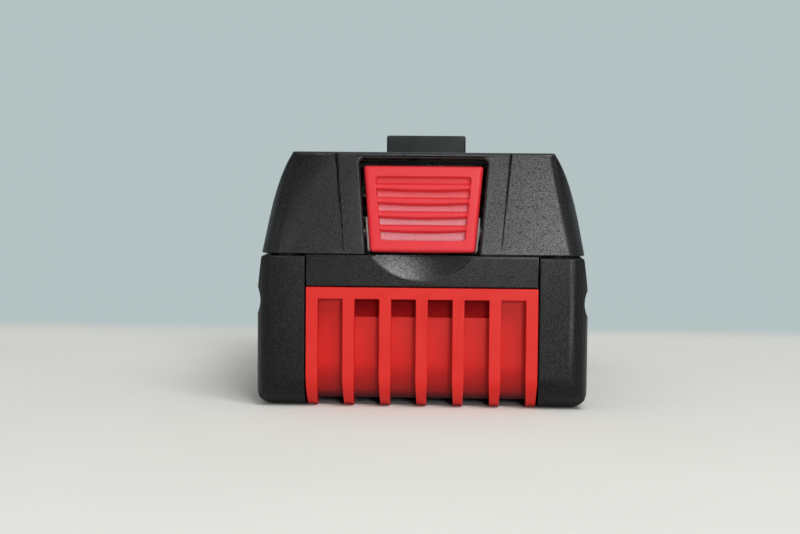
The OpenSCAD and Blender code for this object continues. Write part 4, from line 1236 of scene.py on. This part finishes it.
def contact_mesh():
    """One spring contact: a foot and two leaves that pinch in the middle and flare at the entry."""
    low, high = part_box("contact_3")
    leaf = shape().leaf
    steps = 14
    half_gap, most_pinch, most_flare, flare_start = 0.5 * MM, 0.18 * MM, 0.3 * MM, 0.8
    foot_top, leaf_low = low.z + 0.8 * MM, low.z + 0.4 * MM
    bm = bmesh.new()
    add_box(bm, low, (high.x, high.y, foot_top))
    for side in (-1, 1):
        rings = []
        for i in range(steps + 1):
            share = i / steps
            pinch = most_pinch * math.sin(math.pi * share) ** 2
            flare = most_flare * max(0.0, share - flare_start) / (1 - flare_start)
            near = side * (half_gap - pinch + flare)
            far = near + side * leaf
            y = low.y + (high.y - low.y) * share
            rings.append([(near, y, leaf_low), (far, y, leaf_low), (far, y, high.z), (near, y, high.z)])
        add_rings(bm, rings)
    bmesh.ops.recalc_face_normals(bm, faces=bm.faces)
    return made_mesh(bm, "contact")


class PACK_OT_contacts(bpy.types.Operator):
    """Bends the spring contacts under the slots and finishes their block"""

    bl_idname = "pack.contacts"
    bl_label = "Contacts"

    def execute(self, context):
        bronze = contact_bronze()
        nodes = sorted(name for name in NODES if name.startswith("contact_"))
        tree, names = contacts_tree(bronze)
        last = Vector(((len(nodes) - 1) / 2 * shape().contact_pitch, 0, 0))
        mesh = grown(tree, names, contact_mesh(), "contact_row", count=len(nodes), first=-last, last=last)
        place_piece(mesh, "contact_row", "housing", "contact_bronze", bronze, *nodes)
        black = block_plastic()
        dress_node("terminal_block", "contact_block", "housing", "block_plastic", black, small_radius)
        return {"FINISHED"}


class PACK_OT_gauge(bpy.types.Operator):
    """Finishes the charge gauge: lens, push button and lights"""

    bl_idname = "pack.gauge"
    bl_label = "Charge gauge"

    def execute(self, context):
        dress_node("gauge_lens", "gauge_window", "housing", "lens_plastic", smoky_lens(), small_radius)
        rubber = silicone_key()
        dress_node("gauge_button", "gauge_key", "gauge_key", "key_rubber", rubber, self.key_radius, 4)
        finish_nodes(light_resin(), "gauge_lights")
        return {"FINISHED"}

    @staticmethod
    def key_radius(point):
        return shape().slot_edge


class PACK_OT_inside(bpy.types.Operator):
    """Finishes the cells, bus bars, insulators, boards and the parts on them"""

    bl_idname = "pack.inside"
    bl_label = "Inside"

    def execute(self, context):
        finish_nodes(cell_sleeve(), *(name for name in NODES if name.startswith("cell_")))
        finish_nodes(holder_plastic(), "left_cell_holder", "right_cell_holder")
        finish_nodes(nickel_strip(), *(name for name in NODES if name.startswith("busbar_")))
        finish_nodes(pressed_paper(), "left_insulator", "right_insulator", "top_insulator")
        finish_nodes(thermal_silicone(), "front_thermal_pad", "rear_thermal_pad")
        finish_nodes(chip_epoxy(), "thermistor", "power_transistors", "controller_chip", "gauge_switch")
        finish_nodes(board_laminate(), "circuit_board", "gauge_board")
        finish_nodes(capacitor_can(), "capacitors")
        return {"FINISHED"}


# Stage

# Lights: name, place, size, setting of the power, colour
LIGHTS = (
    ("Key", (0.15, -0.735, 0.155), 0.13, "key", "#ffffff"),
    ("Fill", (-0.7, -0.5, 0.35), 0.6, "fill", "#f4f8ff"),
    ("Top", (0.656, -1.232, 1.6), 1.12, "top", "#ffffff"),
)
LIGHT_AIM = (0, 0, 0.03)
FLOOR_SIZE, FLOOR_DROP = 3.0, 0.02 * MM
FLOOR_END = {"From Min": 0.115, "From Max": 0.17}


def aim(obj, target, roll=0.0):
    """Turns a lamp or the camera towards a point."""
    place = obj.location.copy()
    turn = (Vector(target) - place).to_track_quat("-Z", "Y").to_matrix().to_4x4()
    obj.matrix_world = Matrix.Translation(place) @ turn @ Matrix.Rotation(roll, 4, "Z")


def soft_light(name, place, size, watts, colour):
    """A square soft light that faces the pack."""
    lamp = bpy.data.lights.new(name, "AREA")
    lamp.size = size
    lamp.energy = watts
    lamp.color = linear(colour)[:3]
    light = bpy.data.objects.new(name, lamp)
    bpy.context.scene.collection.objects.link(light)
    light.location = place
    aim(light, LIGHT_AIM)


def table_cloth():
    # Pale woven cloth, dull and even, that gives way to the backdrop's colour behind the pack
    material = surface("Table cloth", colours().floor, "#e5e5df", 60, 0.9, 0.06, (0.8, 0.95))
    tree, skin = skin_of(material)
    end = {"Value": coordinates(tree)["Y"], **FLOOR_END}
    far = add(tree, "ShaderNodeMapRange", end, interpolation_type="SMOOTHSTEP")
    seen = add(tree, "ShaderNodeLightPath").outputs["Is Camera Ray"]
    veil = add(tree, "ShaderNodeMath", {0: far, 1: seen}, operation="MULTIPLY")
    wall = add(tree, "ShaderNodeEmission", {"Color": linear(colours().backdrop), "Strength": 1.0})
    out = skin.outputs["BSDF"].links[0].to_node
    feed(tree, out, {"Surface": add(tree, "ShaderNodeMixShader", {0: veil, 1: skin, 2: wall})})
    return material


class PACK_OT_stage(bpy.types.Operator):
    """Sets the floor, the backdrop, the soft lights and the camera"""

    bl_idname = "pack.stage"
    bl_label = "Stage"

    def execute(self, context):
        scene = context.scene
        settings = scene.pack_stage
        scene.view_settings.view_transform = "Standard"
        bm = bmesh.new()
        bmesh.ops.create_grid(bm, x_segments=1, y_segments=1, size=FLOOR_SIZE)
        mesh = made_mesh(bm, "table")
        mesh.transform(Matrix.Translation((0, 0, -FLOOR_DROP)))
        mesh.materials.append(table_cloth())
        hold(mesh, "table")
        self.set_world(scene, settings)
        for name, place, size, setting, colour in LIGHTS:
            soft_light(name, place, size, getattr(settings, setting), colour)
        camera = bpy.data.objects.new("Camera", bpy.data.cameras.new("Camera"))
        scene.collection.objects.link(camera)
        camera.data.sensor_width = SENSOR_WIDTH
        camera.data.lens = settings.focal * SENSOR_WIDTH
        camera.data.clip_start = 0.01
        front = CAD_BOX[0].y
        camera.location = (settings.side, front - settings.distance, settings.height)
        aim(camera, (settings.aim_x, front, settings.aim_z), settings.roll)
        scene.camera = camera
        return {"FINISHED"}

    def set_world(self, scene, settings):
        """Room light that grows upwards, and the backdrop where the camera or a reflection looks."""
        world = bpy.data.worlds.new("Room")
        scene.world = world
        world.use_nodes = True
        tree = world.node_tree
        tree.nodes.clear()
        low_share, top_share, growth = 0.2, 4, 4.0
        ray = add(tree, "ShaderNodeLightPath").outputs
        view = add(tree, "ShaderNodeTexCoord").outputs["Generated"]
        look = add(tree, "ShaderNodeSeparateXYZ", {"Vector": view}).outputs
        behind = add(tree, "ShaderNodeMapRange", {"Value": look["Y"], "From Min": -0.2, "From Max": 0.2})
        seen = add(tree, "ShaderNodeMath", {0: ray["Is Glossy Ray"], 1: behind}, operation="MULTIPLY")
        for kind in ("Is Camera Ray", "Is Transmission Ray"):
            seen = add(tree, "ShaderNodeMath", {0: seen, 1: ray[kind]}, operation="MAXIMUM")
        height = add(tree, "ShaderNodeMapRange", {"Value": look["Z"]})
        rise = add(tree, "ShaderNodeMath", {0: height, 1: growth}, operation="POWER")
        ends = {"To Min": settings.world * low_share, "To Max": settings.world * top_share}
        ceiling = add(tree, "ShaderNodeMapRange", {"Value": rise, **ends})
        room = add(tree, "ShaderNodeBackground", {"Color": linear("#f4f6f6"), "Strength": ceiling})
        wall = add(tree, "ShaderNodeBackground", {"Color": linear(colours().backdrop), "Strength": 1.0})
        both = add(tree, "ShaderNodeMixShader", {0: seen, 1: room, 2: wall})
        add(tree, "ShaderNodeOutputWorld", {"Surface": both})


SETTINGS = {
    "pack_shape": PackShapeSettings,
    "pack_colours": PackColourSettings,
    "pack_stage": PackStageSettings,
}
OPERATORS = (
    PACK_OT_housing,
    PACK_OT_side_covers,
    PACK_OT_end_inserts,
    PACK_OT_release_button,
    PACK_OT_latch,
    PACK_OT_screws,
    PACK_OT_contacts,
    PACK_OT_gauge,
    PACK_OT_inside,
    PACK_OT_stage,
)


class PACK_PT_sidebar(bpy.types.Panel):
    """Lists the pack's operators and settings"""

    bl_idname = "PACK_PT_sidebar"
    bl_label = "Battery pack"
    bl_space_type = "VIEW_3D"
    bl_region_type = "UI"
    bl_category = "Pack"

    def draw(self, context):
        for operator in OPERATORS:
            self.layout.operator(operator.bl_idname)
        for group in SETTINGS:
            box = self.layout.box()
            for name in SETTINGS[group].__annotations__:
                box.prop(getattr(context.scene, group), name)


CLASSES = (*SETTINGS.values(), *OPERATORS, PACK_PT_sidebar)


def register():
    for cls in CLASSES:
        bpy.utils.register_class(cls)
    for name, group in SETTINGS.items():
        setattr(bpy.types.Scene, name, PointerProperty(type=group))


def unregister():
    for name in SETTINGS:
        delattr(bpy.types.Scene, name)
    for cls in reversed(CLASSES):
        bpy.utils.unregister_class(cls)


def main():
    """Makes every piece and the stage."""
    register()
    for operator in OPERATORS:
        getattr(bpy.ops.pack, operator.bl_idname.split(".")[1])()


if __name__ == "__main__":
    main()
